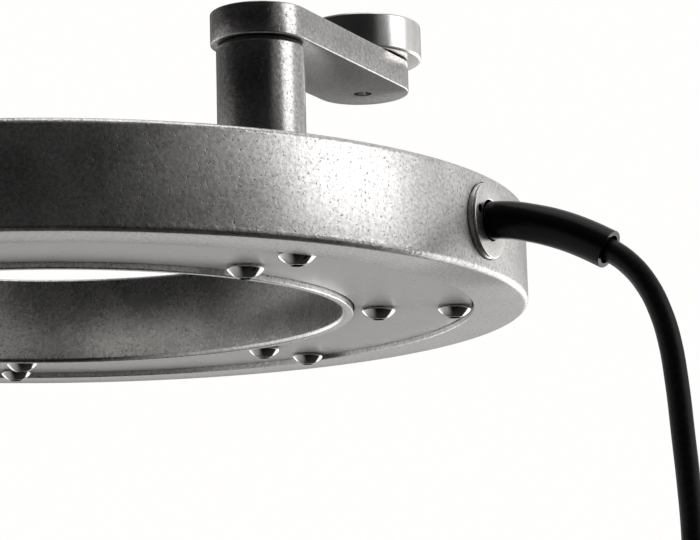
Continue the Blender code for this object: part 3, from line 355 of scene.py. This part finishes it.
fitted(
    "foot_pot",
    turned(
        (
            (recess_radius, 0, 0.0001),
            (0.0123, 0, 0.0002),
            (pot_radius, -0.0004, 0.0002),
            (pot_radius, -0.0074, 0.0003),
            (0.0123, -pot_height, 0.0002),
            (0.0067, -pot_height, 0.0001),
            (0.0067, -0.0070, 0),
            (stud_hole_radius, -0.0070, 0),
            (stud_hole_radius, -0.0048, 0),
            (recess_radius, -0.0048, 0),
        ),
        fine_steps,
    ),
    Matrix(),
    plating,
    "foot",
    "turned_steel",
    "magnet_pot",
)
fitted(
    "foot_resin",
    turned(
        (
            (0.0087, -0.0003, 0.0001),
            (0.0094, -0.0003, 0.0001),
            (0.0094, magnet_bottom, 0),
            (0.0087, magnet_bottom, 0),
        ),
        fine_steps,
    ),
    Matrix(),
    resin_black,
    "foot",
    "black_plastic",
    "magnet_resin",
)
fitted(
    "foot_magnet",
    turned(
        (
            (0, 0, 0),
            (magnet_radius, 0, 0.0002),
            (magnet_radius, magnet_bottom, 0),
            (0, magnet_bottom, 0),
        ),
        fine_steps,
    ),
    Matrix(),
    ground,
    "foot",
    "turned_steel",
    "magnet_disc",
)
dressed(plating, "foot_stud")
fibre, surface, place = finish("black_fibre", (0.03, 0.03, 0.03), 0.6)
mottled(surface, place.noise(1800, 3), (0.02, 0.02, 0.02), (0.05, 0.05, 0.048))
place.noise(2500, 2).relief(0.00003, surface["Normal"])
dressed(fibre, "foot_washer")

# Arm: a flat bar of cast aluminium with round ends, blasted all over. It is counterbored on
# top for the pivot screw, and tapped for the foot's stud.
arm_turn = Matrix.Rotation(math.radians(-33.9), 4, "Z")
arm_length = 0.0450
arm_half_width = 0.0098
arm_top = -0.0081
arm_bottom = -0.0145
cut_bottom = -0.0200
blast_depth = 0.000025


def carved(bm, *tools):
    """The shape that is left of one when the others are cut out of it."""
    bodies = []
    for number, shape in enumerate((bm, *tools)):
        mesh = bpy.data.meshes.new(f"carving_{number}")
        shape.to_mesh(mesh)
        shape.free()
        bodies.append(bpy.data.objects.new(mesh.name, mesh))
        bpy.context.scene.collection.objects.link(bodies[-1])
    for tool in bodies[1:]:
        modifier = bodies[0].modifiers.new(tool.name, "BOOLEAN")
        modifier.solver = "EXACT"
        modifier.object = tool
    bpy.context.view_layer.update()
    finished = bodies[0].evaluated_get(bpy.context.evaluated_depsgraph_get())
    left = bmesh.new()
    left.from_mesh(finished.to_mesh())
    finished.to_mesh_clear()
    for body in bodies:
        bpy.data.meshes.remove(body.data)
    return left


def only(kind, found):
    """The vertices or the edges among the parts that an operator gives back."""
    return [part for part in found if isinstance(part, kind)]


def drawn_out(bm, edges, shift):
    """Draws edges out into flat sides, and gives the vertices and edges at their far end."""
    run = bmesh.ops.extrude_edge_only(bm, edges=edges)["geom"]
    moved = only(bmesh.types.BMVert, run)
    bmesh.ops.translate(bm, vec=shift, verts=moved)
    return moved, only(bmesh.types.BMEdge, run)


def blasted(name, smoothest, dark, pale):
    """Cast aluminium, blasted, with painted shade in its pits: the material, its shader, the
    place, its roughness and relief.
    """
    material, surface, place = finish(name, pale, smoothest, 1.0)
    grain = place.noise(1300, 4, 0.65)
    patches = place.noise(110, 3)
    pits_with_painted_shade = place.noise(2200, 1).between(0.64, 0.72)
    tone = grain.between(0.25, 0.75) * 0.75 + patches.between(0.2, 0.8) * 0.25
    # Pits, which the relief also sinks, get a dark colour that is painted shade.
    tone.colour(dark, pale).covered(pits_with_painted_shade, (0.24, 0.235, 0.23)).into(surface["Base Color"])
    rough = smoothest + 0.10 * patches + 0.06 * grain
    return material, surface, place, rough, grain - 0.6 * pits_with_painted_shade


alloy, surface, place, rough, grit = blasted(
    "blasted_aluminium", 0.14, (0.31, 0.30, 0.295), (0.64, 0.625, 0.615)
)
rough.into(surface["Roughness"])
grit.relief(blast_depth, surface["Normal"])

bar = bmesh.new()
section = [
    bar.verts.new((out, 0, height))
    for out, height in (
        (0, arm_top),
        (arm_half_width, arm_top),
        (arm_half_width, arm_bottom),
        (0, arm_bottom),
    )
]
for pair in zip(section, section[1:]):
    bar.edges.new(pair)
rounded(bar, section[1:3], 0.0003, 4)
arm_end = bar.verts[:] + bar.edges[:]
for centre, shift in (((0, 0, 0), -arm_length), ((0, -arm_length, 0), arm_length)):
    swept = bmesh.ops.spin(
        bar,
        geom=arm_end,
        cent=centre,
        axis=(0, 0, 1),
        angle=math.pi,
        steps=64,
        use_duplicate=False,
    )
    far_edges = only(bmesh.types.BMEdge, swept["geom_last"])
    moved, drawn = drawn_out(bar, far_edges, (0, shift, 0))
    arm_end = moved + drawn
bmesh.ops.remove_doubles(bar, verts=bar.verts, dist=0.0000005)
bmesh.ops.recalc_face_normals(bar, faces=bar.faces)
pivot_hole = turned(
    (
        (0, 0, 0),
        (0.0058, 0, 0),
        (0.0058, -0.0115, 0),
        (0.0045, -0.0115, 0),
        (0.0045, cut_bottom, 0),
        (0, cut_bottom, 0),
    ),
    64,
)
bmesh.ops.translate(pivot_hole, vec=(0, -arm_length, 0), verts=pivot_hole.verts)
stud_hole = turned(
    (
        (0, 0, 0),
        (stud_hole_radius, 0, 0),
        (stud_hole_radius, cut_bottom, 0),
        (0, cut_bottom, 0),
    ),
    48,
)
fitted(
    "arm_bar",
    carved(bar, pivot_hole, stud_hole),
    arm_turn,
    alloy,
    "arm",
    "cast_ring",
    "arm_link",
)

# Pivot: a shoulder screw of polished steel through a bronze bush in the arm. A disc spring under
# its head keeps the arm stiff to turn, and a plastic washer lies between arm and post.
post_low, post_high = (Vector(corner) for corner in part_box("ring_post"))
post_middle = (post_low + post_high) / 2
on_post = Matrix.Translation((post_middle.x, post_middle.y, 0))
head_top = -0.0084
washer_top = -0.0146
washer_bottom = -0.0152


def hexagon_key(half_across, middle):
    """A tool that cuts a socket, from half its width over the flats and its middle's height."""
    bm = bmesh.new()
    corner_radius = half_across / math.cos(math.pi / 6)
    bmesh.ops.create_cone(
        bm,
        cap_ends=True,
        segments=6,
        radius1=corner_radius,
        radius2=corner_radius,
        depth=0.0024,
        matrix=Matrix.Translation((0, 0, middle)),
    )
    return bm


polished, surface, place = finish("polished_steel", (0.50, 0.49, 0.475), 0.12, 1.0)
wear = place.noise(900, 3)
mottled(surface, wear, (0.46, 0.45, 0.435), (0.56, 0.55, 0.535), 0.35)
(0.04 + 0.10 * wear).into(surface["Roughness"])
wear.relief(0.000005, surface["Normal"])
fitted(
    "pivot_shoulder_screw",
    carved(
        turned(
            (
                (0, head_top, 0),
                (0.0052, head_top, 0.0004),
                (0.0052, -0.0102, 0.0001),
                (0.0030, -0.0102, 0),
                (0.0030, washer_bottom, 0),
                (0.0025, washer_bottom, 0),
                (0.0025, -0.0262, 0.0004),
                (0, -0.0262, 0),
            ),
            64,
        ),
        hexagon_key(0.0020, head_top),
    ),
    on_post,
    polished,
    "lamp",
    "polished_steel",
    "pivot_screw",
)
fitted(
    "pivot_washer",
    turned(
        (
            (0.0033, washer_top, 0),
            (0.0083, washer_top, 0.0001),
            (0.0083, washer_bottom, 0.0001),
            (0.0033, washer_bottom, 0),
        ),
        96,
    ),
    on_post,
    fibre,
    "lamp",
    "black_plastic",
    "post_washer",
)
dressed(plating, "pivot_disc_spring")
bronze, surface, place = finish("sintered_bronze", (0.35, 0.27, 0.12), 0.4, 1.0)
mottled(surface, place.noise(3000, 2), (0.28, 0.21, 0.09), (0.45, 0.35, 0.17), 0.35)
place.noise(4000, 2).relief(0.00002, surface["Normal"])
dressed(bronze, "pivot_bush")

# Post: a turned aluminium bar, blasted like the arm, whose spigot is pressed into the ring.
# The pivot screw's thread is tapped into its top.
post_radius = 0.0087
post_top = -0.0153
post_foot = -0.0366
spigot_end = -0.0419
fitted(
    "post",
    turned(
        (
            (0, -0.0280, 0),
            (0.0028, -0.0280, 0),
            (0.0028, post_top, 0),
            (post_radius, post_top, 0.0003),
            (post_radius, post_foot, 0.0002),
            (0.0040, post_foot, 0),
            (0.0040, spigot_end, 0.0005),
            (0, spigot_end, 0),
        ),
        fine_steps,
    ),
    on_post,
    alloy,
    "lamp",
    "cast_ring",
    "ring_post",
)

# Ring housing: an aluminium casting, machined, with a stepped channel in its underside for
# the light engine and its cover, then tumbled and blasted until its edges are soft.
ring_low, ring_high = (Vector(corner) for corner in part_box("ring_housing"))
ring_middle = (ring_low + ring_high) / 2
ring_centre = Matrix.Translation((ring_middle.x, ring_middle.y, ring_low.z))
ring_radius = 0.1050
ring_height = 0.0208
bore_radius = 0.0642
ledge_height = 0.0056
roof_height = 0.0146
ring_steps = 256
pairs = 7
first_pair = 31.7
pair_spacing = 360 / pairs
outer_circle = 0.0889
inner_circle = 0.0721
screw_hole_radius = 0.0023
gland_degrees = 55.7
gland_height = 0.0107


def around(circle, degrees, height=0.0):
    """A place on the ring, by its angle from the near side towards the right."""
    turn = math.radians(degrees)
    return Matrix.Translation((circle * math.sin(turn), -circle * math.cos(turn), height))


def holes(places, radius, low, high):
    """Round tools that stand upright at some places, from a low to a high level."""
    bm = bmesh.new()
    for spot in places:
        bmesh.ops.create_cone(
            bm,
            cap_ends=True,
            segments=24,
            radius1=radius,
            radius2=radius,
            depth=high - low,
            matrix=spot @ Matrix.Translation((0, 0, (high + low) / 2)),
        )
    return bm


cover_screw_places = [
    around(circle, first_pair + pair_spacing * pair)
    for circle in (outer_circle, inner_circle)
    for pair in range(pairs)
]
board_screw_places = [around(0.08025, first_pair + pair_spacing * pair) for pair in (1, 3, 5)]
out_of_rim = around(ring_radius, gland_degrees, gland_height) @ Matrix.Rotation(
    math.radians(gland_degrees - 90), 4, "Z"
)
gland_in_ring = out_of_rim @ Matrix.Rotation(math.pi / 2, 4, "Y")
gland_bore = turned(
    (
        (0, 0.0030, 0),
        (0.0080, 0.0030, 0),
        (0.0080, -0.0006, 0),
        (0.0060, -0.0006, 0),
        (0.0060, -0.0108, 0),
        (0.0030, -0.0108, 0),
        (0.0030, -0.0210, 0),
        (0, -0.0210, 0),
    ),
    72,
)
bmesh.ops.transform(gland_bore, matrix=gland_in_ring, verts=gland_bore.verts)
ring_alloy, surface, place, rough, grit = blasted(
    "tumbled_aluminium", 0.22, (0.42, 0.41, 0.40), (0.87, 0.855, 0.845)
)
# Knocks raise grit along the rim's edges, the bore is smoother, and hands have dulled the metal
# round the gland.
in_ring = place.away_from(ring_centre.translation)
from_middle = in_ring.flattened().length()
height_up = in_ring.axis(2)
lower_edge = height_up.between(0.0002, 0.0008) * height_up.between(0.0022, 0.0012)
upper_edge = height_up.between(0.0192, 0.0198)
chips = place.noise(900, 2).between(0.45, 0.7) * (lower_edge + upper_edge)
worn_edge = chips * from_middle.between(0.1020, 0.1034)
bore = from_middle.between(0.0668, 0.0660)
from_bush = place.away_from((ring_centre @ gland_in_ring).translation).length()
handled = from_bush.between(0.024, 0.012)
(rough - 0.03 * bore + 0.17 * handled).into(surface["Roughness"])
((grit + 1.3 * worn_edge) * (1 - 0.6 * bore)).relief(blast_depth, surface["Normal"])
fitted(
    "housing",
    carved(
        turned(
            (
                (ring_radius, ring_height, 0.0014),
                (ring_radius, 0, 0.0013),
                (0.0931, 0, 0.0002),
                (0.0931, ledge_height, 0),
                (0.0850, ledge_height, 0),
                (0.0850, roof_height, 0),
                (0.0755, roof_height, 0),
                (0.0755, ledge_height, 0),
                (0.0665, ledge_height, 0),
                (0.0665, 0, 0.0003),
                (bore_radius, 0, 0.0010),
                (bore_radius, ring_height, 0.0008),
            ),
            ring_steps,
        ),
        gland_bore,
        holes(cover_screw_places, screw_hole_radius, 0.0046, 0.0129),
        holes(board_screw_places, 0.00155, 0.0136, 0.0182),
        holes([around(0.0830, 29.4)], 0.0043, 0.0152, 0.0230),
    ),
    ring_centre,
    ring_alloy,
    "lamp",
    "cast_ring",
    "ring_housing",
)

# Light engine: a white board with its light-emitting diodes and driver chips, on a soft pad
# that carries its heat to the roof of the channel, with three screws and a wire terminal.
pad_grey, surface, place = finish("heat_pad", (0.45, 0.47, 0.52), 0.8)
mottled(surface, place.noise(1200, 3), (0.40, 0.42, 0.47), (0.50, 0.52, 0.57))
place.noise(2500, 2).relief(0.00003, surface["Normal"])
dressed(pad_grey, "thermal_pad")
board, surface, place = finish("solder_mask", (0.85, 0.86, 0.84), 0.45)
board_face = ring_low.z + 0.0119
diodes = place.axis(2).between(board_face - 0.0011, board_face - 0.0013)
tracks = place.flattened().noise(420, 0).between(0.50, 0.52)
mask_white = tracks.colour((0.82, 0.83, 0.80), (0.88, 0.89, 0.87))
mask_white.covered(diodes, (0.85, 0.68, 0.22)).into(surface["Base Color"])
(0.30 + 0.15 * place.noise(1500, 2)).into(surface["Roughness"])
tracks.relief(0.00003, surface["Normal"])
dressed(board, "led_board")
dressed(plating, "board_screw_1", "board_screw_2", "board_screw_3")
terminal, surface, place = finish("terminal_moulding", (0.80, 0.80, 0.78), 0.4)
mottled(surface, place.noise(600, 2), (0.76, 0.76, 0.74), (0.83, 0.83, 0.81))
place.noise(3000, 2).relief(0.00001, surface["Normal"])
dressed(terminal, "wire_terminal")
for node, colour in (("wire_plus", (0.50, 0.03, 0.02)), ("wire_minus", (0.02, 0.02, 0.02))):
    insulation, surface, place = finish(node + "_insulation", colour, 0.35)
    (0.25 + 0.2 * place.noise(900, 2)).into(surface["Roughness"])
    place.noise(1500, 2).relief(0.00001, surface["Normal"])
    dressed(insulation, node)

# Cover: a satin plate of light grey glass-filled plastic in the mouth of the channel, which
# lets the light through. Black gaskets lie behind both of its edges.
cover_outside = 0.0928
cover_inside = 0.0668
cover_low = 0.0012
cover_high = 0.0042
satin, surface, place = finish("satin_cover", (0.72, 0.695, 0.69), 0.22)
haze = place.noise(60, 3)
mottled(surface, haze, (0.68, 0.655, 0.65), (0.75, 0.725, 0.72))
(0.22 + 0.12 * haze).into(surface["Roughness"])
place.noise(1800, 2).relief(0.000004, surface["Normal"])
fitted(
    "cover",
    carved(
        turned(
            (
                (cover_outside, cover_high, 0),
                (cover_outside, cover_low, 0.0004),
                (cover_inside, cover_low, 0.0004),
                (cover_inside, cover_high, 0),
            ),
            ring_steps,
        ),
        holes(cover_screw_places, screw_hole_radius, cover_low - 0.0010, cover_high + 0.0010),
    ),
    ring_centre,
    satin,
    "lamp",
    "cover",
    "cover_plate",
)
rubber, surface, place = finish("gasket_rubber", (0.02, 0.02, 0.02), 0.7)
mottled(surface, place.noise(1500, 3), (0.014, 0.014, 0.014), (0.03, 0.03, 0.03))
place.noise(2500, 2).relief(0.00002, surface["Normal"])
dressed(rubber, "outer_gasket", "inner_gasket", "gland_seal")

# Cover screws: polished steel button heads with hexagon sockets, in seven pairs, which
# clamp the cover against its gaskets and thread into the ledges of the housing.
under_head = Matrix.Translation((0, 0, 0.0009))
shank_radius = 0.0020
shank_end = 0.0100
head_radius = 0.0038
head_crown = -0.0022
for number, spot in enumerate(cover_screw_places):
    row = "outer" if number < pairs else "inner"
    order = number % pairs + 1
    spun = Matrix.Rotation(0.7 + 1.9 * number, 4, "Z")
    fitted(
        f"{row}_screw_{order}",
        carved(
            turned(
                (
                    (0, shank_end, 0),
                    (shank_radius, shank_end, 0.0004),
                    (shank_radius, 0, 0),
                    (head_radius, 0, 0.0001),
                    (head_radius, -0.00035, 0.0001),
                    (0.00297, -0.00168, 0.00140),
                    (0.0015, head_crown, 0.0001),
                    (0, head_crown, 0),
                ),
                48,
            ),
            hexagon_key(0.00125, head_crown),
        ),
        ring_centre @ spot @ under_head @ spun,
        polished,
        "lamp",
        "polished_steel",
        f"{row}_cover_screw_{order}",
    )

# Gland: a turned brass bush with bright nickel plating, screwed into the rim. Its flange has a
# groove round its edge and two holes for a pin spanner, darkened by grease and painted shade.
# A rubber seal grips the cord.
on_gland = ring_centre @ gland_in_ring
flange_radius = 0.0077
flange_face = 0.0014
bush_mouth = 0.0042
bright, surface, place = finish("bright_nickel", (0.78, 0.765, 0.745), 0.12, 1.0)
sheen = place.noise(1400, 3)
plated = sheen.between(0.3, 0.7).colour((0.72, 0.705, 0.685), (0.82, 0.805, 0.785))
# Grease and painted shade darken whatever lies a little deeper than the flange's face, inside its
# holes.
from_face = place.away_from(on_gland @ Vector((0, 0, flange_face)))
sunk = from_face.along(on_gland.col[2].xyz).between(-0.0001, -0.0004)
grease_and_painted_shade = sunk * from_face.length().between(0.0069, 0.0067)
plated.covered(grease_and_painted_shade, (0.02, 0.02, 0.02)).into(surface["Base Color"])
(0.22 + 0.14 * sheen).into(surface["Roughness"])
sheen.relief(0.000006, surface["Normal"])
across_flange = Matrix.Rotation(math.radians(-17), 4, "Z")
spanner_places = [across_flange @ Matrix.Translation((0, side * 0.00545, 0)) for side in (1, -1)]
fitted(
    "gland",
    carved(
        turned(
            (
                (bush_mouth, flange_face, 0.0002),
                (flange_radius, flange_face, 0.0002),
                (flange_radius, 0.00105, 0.00005),
                (0.0071, 0.00105, 0),
                (0.0071, 0.0007, 0),
                (flange_radius, 0.0007, 0.0002),
                (flange_radius, -0.0003, 0),
                (0.0057, -0.0003, 0),
                (0.0057, -0.0105, 0),
                (0.00265, -0.0105, 0),
                (0.00265, -0.0095, 0),
                (bush_mouth, -0.0095, 0),
            ),
            fine_steps,
        ),
        holes(spanner_places, 0.0010, 0.0001, 0.0031),
    ),
    on_gland,
    bright,
    "lamp",
    "plated_brass",
    "gland_bush",
)

# Sleeve: a length of thick glossy black tube, pushed over the cord and into the gland, which
# keeps the cord from bending sharply. It is cut off square.
gland_frame = ring_centre @ out_of_rim
cord_radius = 0.00235
sleeve_radius = 0.0039
sleeve_wall = 0.0009
# The cord's way out of the rim and down, through the points of the part's own cord.
route = (
    (0.0014, 0.0001),
    (0.0052, 0.0004),
    (0.0103, 0.0016),
    (0.0158, 0.0034),
    (0.0213, 0.0059),
    (0.0263, 0.0087),
    (0.0306, 0.0122),
    (0.0340, 0.0168),
    (0.0363, 0.0220),
    (0.0378, 0.0276),
    (0.0389, 0.0361),
    (0.0396, 0.0459),
    (0.0402, 0.0548),
    (0.0406, 0.0637),
    (0.0406, 0.0717),
)
route_points = [Vector((out, 0, -down)) for out, down in route]


def line_object(name, points, radius, sides):
    """A round line on one smooth spline through points of the gland's frame."""
    curve = bpy.data.curves.new(name, "CURVE")
    curve.dimensions = "3D"
    curve.resolution_u = 4
    curve.bevel_depth = radius
    curve.bevel_resolution = sides
    spline = curve.splines.new("BEZIER")
    spline.bezier_points.add(len(points) - 1)
    for knot, point in zip(spline.bezier_points, points):
        knot.co = gland_frame @ point
        knot.handle_left_type = "AUTO"
        knot.handle_right_type = "AUTO"
    made = bpy.data.objects.new(name, curve)
    bpy.context.scene.collection.objects.link(made)
    return made


sleeve_black, surface, place = finish("glossy_sleeve", (0.006, 0.006, 0.0065), 0.16)
surface["Specular IOR Level"].default_value = 0.12
drag = place.noise(500, 3)
(0.12 + 0.16 * drag).into(surface["Roughness"])
drag.relief(0.00004, surface["Normal"])
sleeve_points = [Vector((-0.0059, 0, 0)), Vector((-0.0030, 0, 0)), *route_points[:6]]
hose = line_object("sleeve_line", sleeve_points, sleeve_radius, 8)
hose.data.use_fill_caps = False
tube = bmesh.new()
tube.from_mesh(hose.to_mesh())
hose.to_mesh_clear()
bpy.data.objects.remove(hose)
bmesh.ops.remove_doubles(tube, verts=tube.verts, dist=0.0000005)
bmesh.ops.recalc_face_normals(tube, faces=tube.faces)
bmesh.ops.solidify(tube, geom=tube.faces[:], thickness=sleeve_wall)
bmesh.ops.recalc_face_normals(tube, faces=tube.faces)
sleeve = fitted(
    "sleeve", tube, Matrix(), sleeve_black, "lamp", "sleeve_black", "strain_relief_sleeve"
)

# Cord: two metres of round control cord with a satin black jacket. It bends down out of its
# sleeve, and its spare length is wound into a coil of four layers that hangs below.
layers = 4
full_turns = 11
layer_pitch = 0.00525
coil_middle = 0.0262
entry_radius = 0.0240
points_per_turn = 24
spread = full_turns / layers * layer_pitch
outer = coil_middle + spread / 2
drop = math.sqrt((outer + entry_radius) ** 2 - entry_radius**2)
entry = math.atan2(drop, entry_radius)
start = Vector((0.0406, 0, -0.0720))
centre = start + Vector((0, 0, -2 * cord_radius - drop))
line = [Vector((-0.0086, 0, 0)), Vector((-0.0043, 0, 0)), *route_points]
line.append(start + Vector((0, 0, -cord_radius)))
# The lead bends over until it touches the outermost turn of the coil.
for step in range(5):
    bend = entry * step / 5
    inwards = entry_radius * (1 - math.cos(bend))
    line.append(centre + Vector((inwards, 0, drop - entry_radius * math.sin(bend))))
# Layers run inwards and outwards by turns, and the cord crosses to the next one beside them.
loops = full_turns + entry / math.tau
steps = round(loops * points_per_turn)
for step in range(steps + 1):
    turn = loops * step / steps
    bend = entry - math.tau * turn
    layer, part = divmod(min(turn / (loops / layers), layers - 0.000001), 1)
    distance = outer - spread * (part if layer % 2 == 0 else 1 - part)
    crossed = 0.0
    for change in range(1, layers):
        share = min(max((turn - change * loops / layers) * 2 + 0.5, 0), 1)
        crossed += share * share * (3 - 2 * share)
    beside = crossed * layer_pitch
    line.append(centre + Vector((distance * math.cos(bend), beside, distance * math.sin(bend))))
for down in (0.0080, 0.0160):
    line.append(line[-1] + Vector((0, 0, -down)))
end = gland_frame @ line[-1]
line.append(line[-1] + Vector((0, 0, -0.0028)))
cord = line_object("cord", line, cord_radius, 4)
cord.data.use_fill_caps = True
jacket, surface, place = finish("cord_jacket", (0.008, 0.008, 0.0085), 0.38)
surface["Specular IOR Level"].default_value = 0.15
fine = place.noise(1300, 3)
mottled(surface, fine, (0.005, 0.005, 0.0055), (0.012, 0.012, 0.0125))
(0.28 + 0.2 * fine).into(surface["Roughness"])
fine.relief(0.00002, surface["Normal"])
cord.data.materials.append(jacket)
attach(cord, "lamp")
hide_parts("cord_lead", "cord_coil")

# Strap: a woven black band, which goes round the whole bundle of the coil just below the lead.
# It sticks to itself by its hooks, and its end laps over its start on the outside.
strap_frame = gland_frame @ Matrix.Translation(centre) @ Matrix.Rotation(math.radians(-40), 4, "Y")
half_band = 0.0050
thickness = 0.0012
corner_radius = 0.0018
lap = 0.0013
tuck = 0.0060
tail = 0.0052
bundle_middle = (layers - 1) / 2 * layer_pitch
clear = cord_radius + 0.0006
half_wide = spread / 2 + clear
bend_x = half_wide - corner_radius
bend_y = bundle_middle + clear - corner_radius
woven, surface, place = finish("woven_band", (0.02, 0.02, 0.02), 0.85)
in_strap = place.stretched((1, 1, 1), strap_frame.to_euler())
weave = (in_strap.axis(2) * 6300).sine() * (in_strap.along((1, 1, 0)) * 9000).sine()
fuzz = place.noise(3000, 3)
mottled(surface, weave + fuzz, (0.008, 0.008, 0.009), (0.045, 0.045, 0.044), 0.0, 1.4)
(0.70 + 0.25 * fuzz).into(surface["Roughness"])
(weave * 0.5 + fuzz).relief(0.00018, surface["Normal"])
band = bmesh.new()
section = [
    band.verts.new((half_wide + out, -tuck, across))
    for out, across in (
        (0, -half_band),
        (thickness, -half_band),
        (thickness, half_band),
        (0, half_band),
    )
]
for pair in zip(section, section[1:] + section[:1]):
    band.edges.new(pair)
rounded(band, section, 0.0004, 3)
band_end = band.edges[:]
for shift, corner in (
    ((0, bend_y + tuck, 0), (bend_x, bend_y, 0)),
    ((-2 * bend_x, 0, 0), (-bend_x, bend_y, 0)),
    ((0, -2 * bend_y, 0), (-bend_x, -bend_y, 0)),
    ((2 * bend_x + lap, 0, 0), (bend_x + lap, -bend_y, 0)),
    ((0, bend_y + tail, 0), None),
):
    moved, band_end = drawn_out(band, band_end, shift)
    if corner:
        swept = bmesh.ops.spin(
            band,
            geom=moved + band_end,
            cent=corner,
            axis=(0, 0, 1),
            angle=math.pi / 2,
            steps=10,
            use_duplicate=False,
        )
        band_end = only(bmesh.types.BMEdge, swept["geom_last"])
bmesh.ops.remove_doubles(band, verts=band.verts, dist=0.0000005)
bmesh.ops.holes_fill(band, edges=[side for side in band.edges if side.is_boundary], sides=0)
bmesh.ops.translate(band, vec=(outer - spread / 2, bundle_middle, 0), verts=band.verts)
bmesh.ops.recalc_face_normals(band, faces=band.faces)
strap = fitted("strap", band, strap_frame, woven, "lamp", "strap_fabric", "coil_tie")

# Connector: a moulded black grip, which is grooved to bend and fluted to hold, with a knurled
# and threaded coupling nut of plated brass. A carrier inside the nut holds four gilt pins.
on_connector = Matrix.Translation((end.x, end.y, end.z - 0.0003))
neck_radius = 0.0036
neck_end = -0.0090
grip_radius = 0.0068
grip_end = -0.0240
flutes = 12
nut_radius = 0.00725
nut_top = -0.0243
nut_end = -0.0323
thread_radius = 0.0059
thread_pitch = 0.0010
knurls = 40
carrier_radius = 0.0043
carrier_face = -0.0350
moulded, surface, place = finish("moulded_grip", (0.02, 0.02, 0.02), 0.5)
spark = place.noise(3500, 2)
mottled(surface, place.noise(900, 3), (0.015, 0.015, 0.015), (0.028, 0.028, 0.028))
(0.42 + 0.16 * spark).into(surface["Roughness"])
spark.relief(0.00003, surface["Normal"])
gilt, surface, place = finish("gilt_pin", (0.80, 0.60, 0.25), 0.2, 1.0)
rubbed = place.stretched((1, 1, 6)).noise(3000, 2)
mottled(surface, rubbed, (0.70, 0.50, 0.20), (0.86, 0.66, 0.30))
(0.14 + 0.14 * rubbed).into(surface["Roughness"])
rubbed.relief(0.000004, surface["Normal"])
neck = [(0, 0, 0), (neck_radius, 0, 0.0005)]
for groove in (-0.0016, -0.0032, -0.0048, -0.0064):
    for height, cut, rounding in (
        (groove, 0, 0.0002),
        (groove, 0.0006, 0.0001),
        (groove - 0.0007, 0.0006, 0.0001),
        (groove - 0.0007, 0, 0.0002),
    ):
        outside = neck_radius + (grip_radius - neck_radius) * height / neck_end
        neck.append((outside - cut, height, rounding))
grip = fitted(
    "grip",
    carved(
        turned(
            (
                *neck,
                (grip_radius, neck_end, 0.0012),
                (grip_radius, grip_end, 0.0006),
                (0.0048, grip_end, 0),
                (0.0048, -0.0320, 0.0002),
                (0, -0.0320, 0),
            ),
            72,
        ),
        holes([Matrix()], cord_radius + 0.0001, -0.0032, 0.0010),
        holes(
            [around(0.0076, 360 / flutes * flute) for flute in range(flutes)],
            0.0013,
            -0.0215,
            -0.0112,
        ),
    ),
    on_connector,
    moulded,
    "lamp",
    "black_plastic",
    "connector_grip",
)
thread = []
for turn in range(7):
    crest = -0.0327 - thread_pitch * turn
    thread += [(thread_radius, crest, 0.0001), (0.00535, crest - thread_pitch / 2, 0)]
nut = fitted(
    "nut",
    carved(
        turned(
            (
                (0.0051, nut_top, 0),
                (nut_radius, nut_top, 0.0006),
                (nut_radius, nut_end, 0.0006),
                (0.0053, nut_end, 0),
                *thread,
                (0.0057, -0.0398, 0.0001),
                (0.0051, -0.0398, 0.0001),
            ),
            96,
        ),
        holes(
            [around(0.0074, 360 / knurls * knurl) for knurl in range(knurls)],
            0.00038,
            -0.0316,
            -0.0250,
        ),
    ),
    on_connector,
    bright,
    "lamp",
    "plated_brass",
    "connector_nut",
)
pin_places = []
for number in (1, 2, 3, 4):
    low, high = (Vector(corner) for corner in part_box(f"connector_pin_{number}"))
    pin_middle = (low + high) / 2
    pin_places.append(Matrix.Translation((pin_middle.x - end.x, pin_middle.y - end.y, 0)))
carrier = fitted(
    "carrier",
    carved(
        turned(
            (
                (0, -0.0323, 0),
                (carrier_radius, -0.0323, 0.0002),
                (carrier_radius, carrier_face, 0.0003),
                (0, carrier_face, 0),
            ),
            72,
        ),
        holes(pin_places, 0.0006, carrier_face - 0.0010, -0.0331),
        holes([around(0.0045, 0)], 0.0008, carrier_face - 0.0010, -0.0333),
    ),
    on_connector,
    moulded,
    "lamp",
    "black_plastic",
    "connector_carrier",
)
pins = [
    fitted(
        f"pin_{number}",
        turned(
            ((0, -0.0332, 0), (0.0005, -0.0332, 0), (0.0005, -0.0392, 0.0004), (0, -0.0392, 0)), 24
        ),
        on_connector @ spot,
        gilt,
        "lamp",
        "gold_pin",
        f"connector_pin_{number}",
    )
    for number, spot in enumerate(pin_places, 1)
]
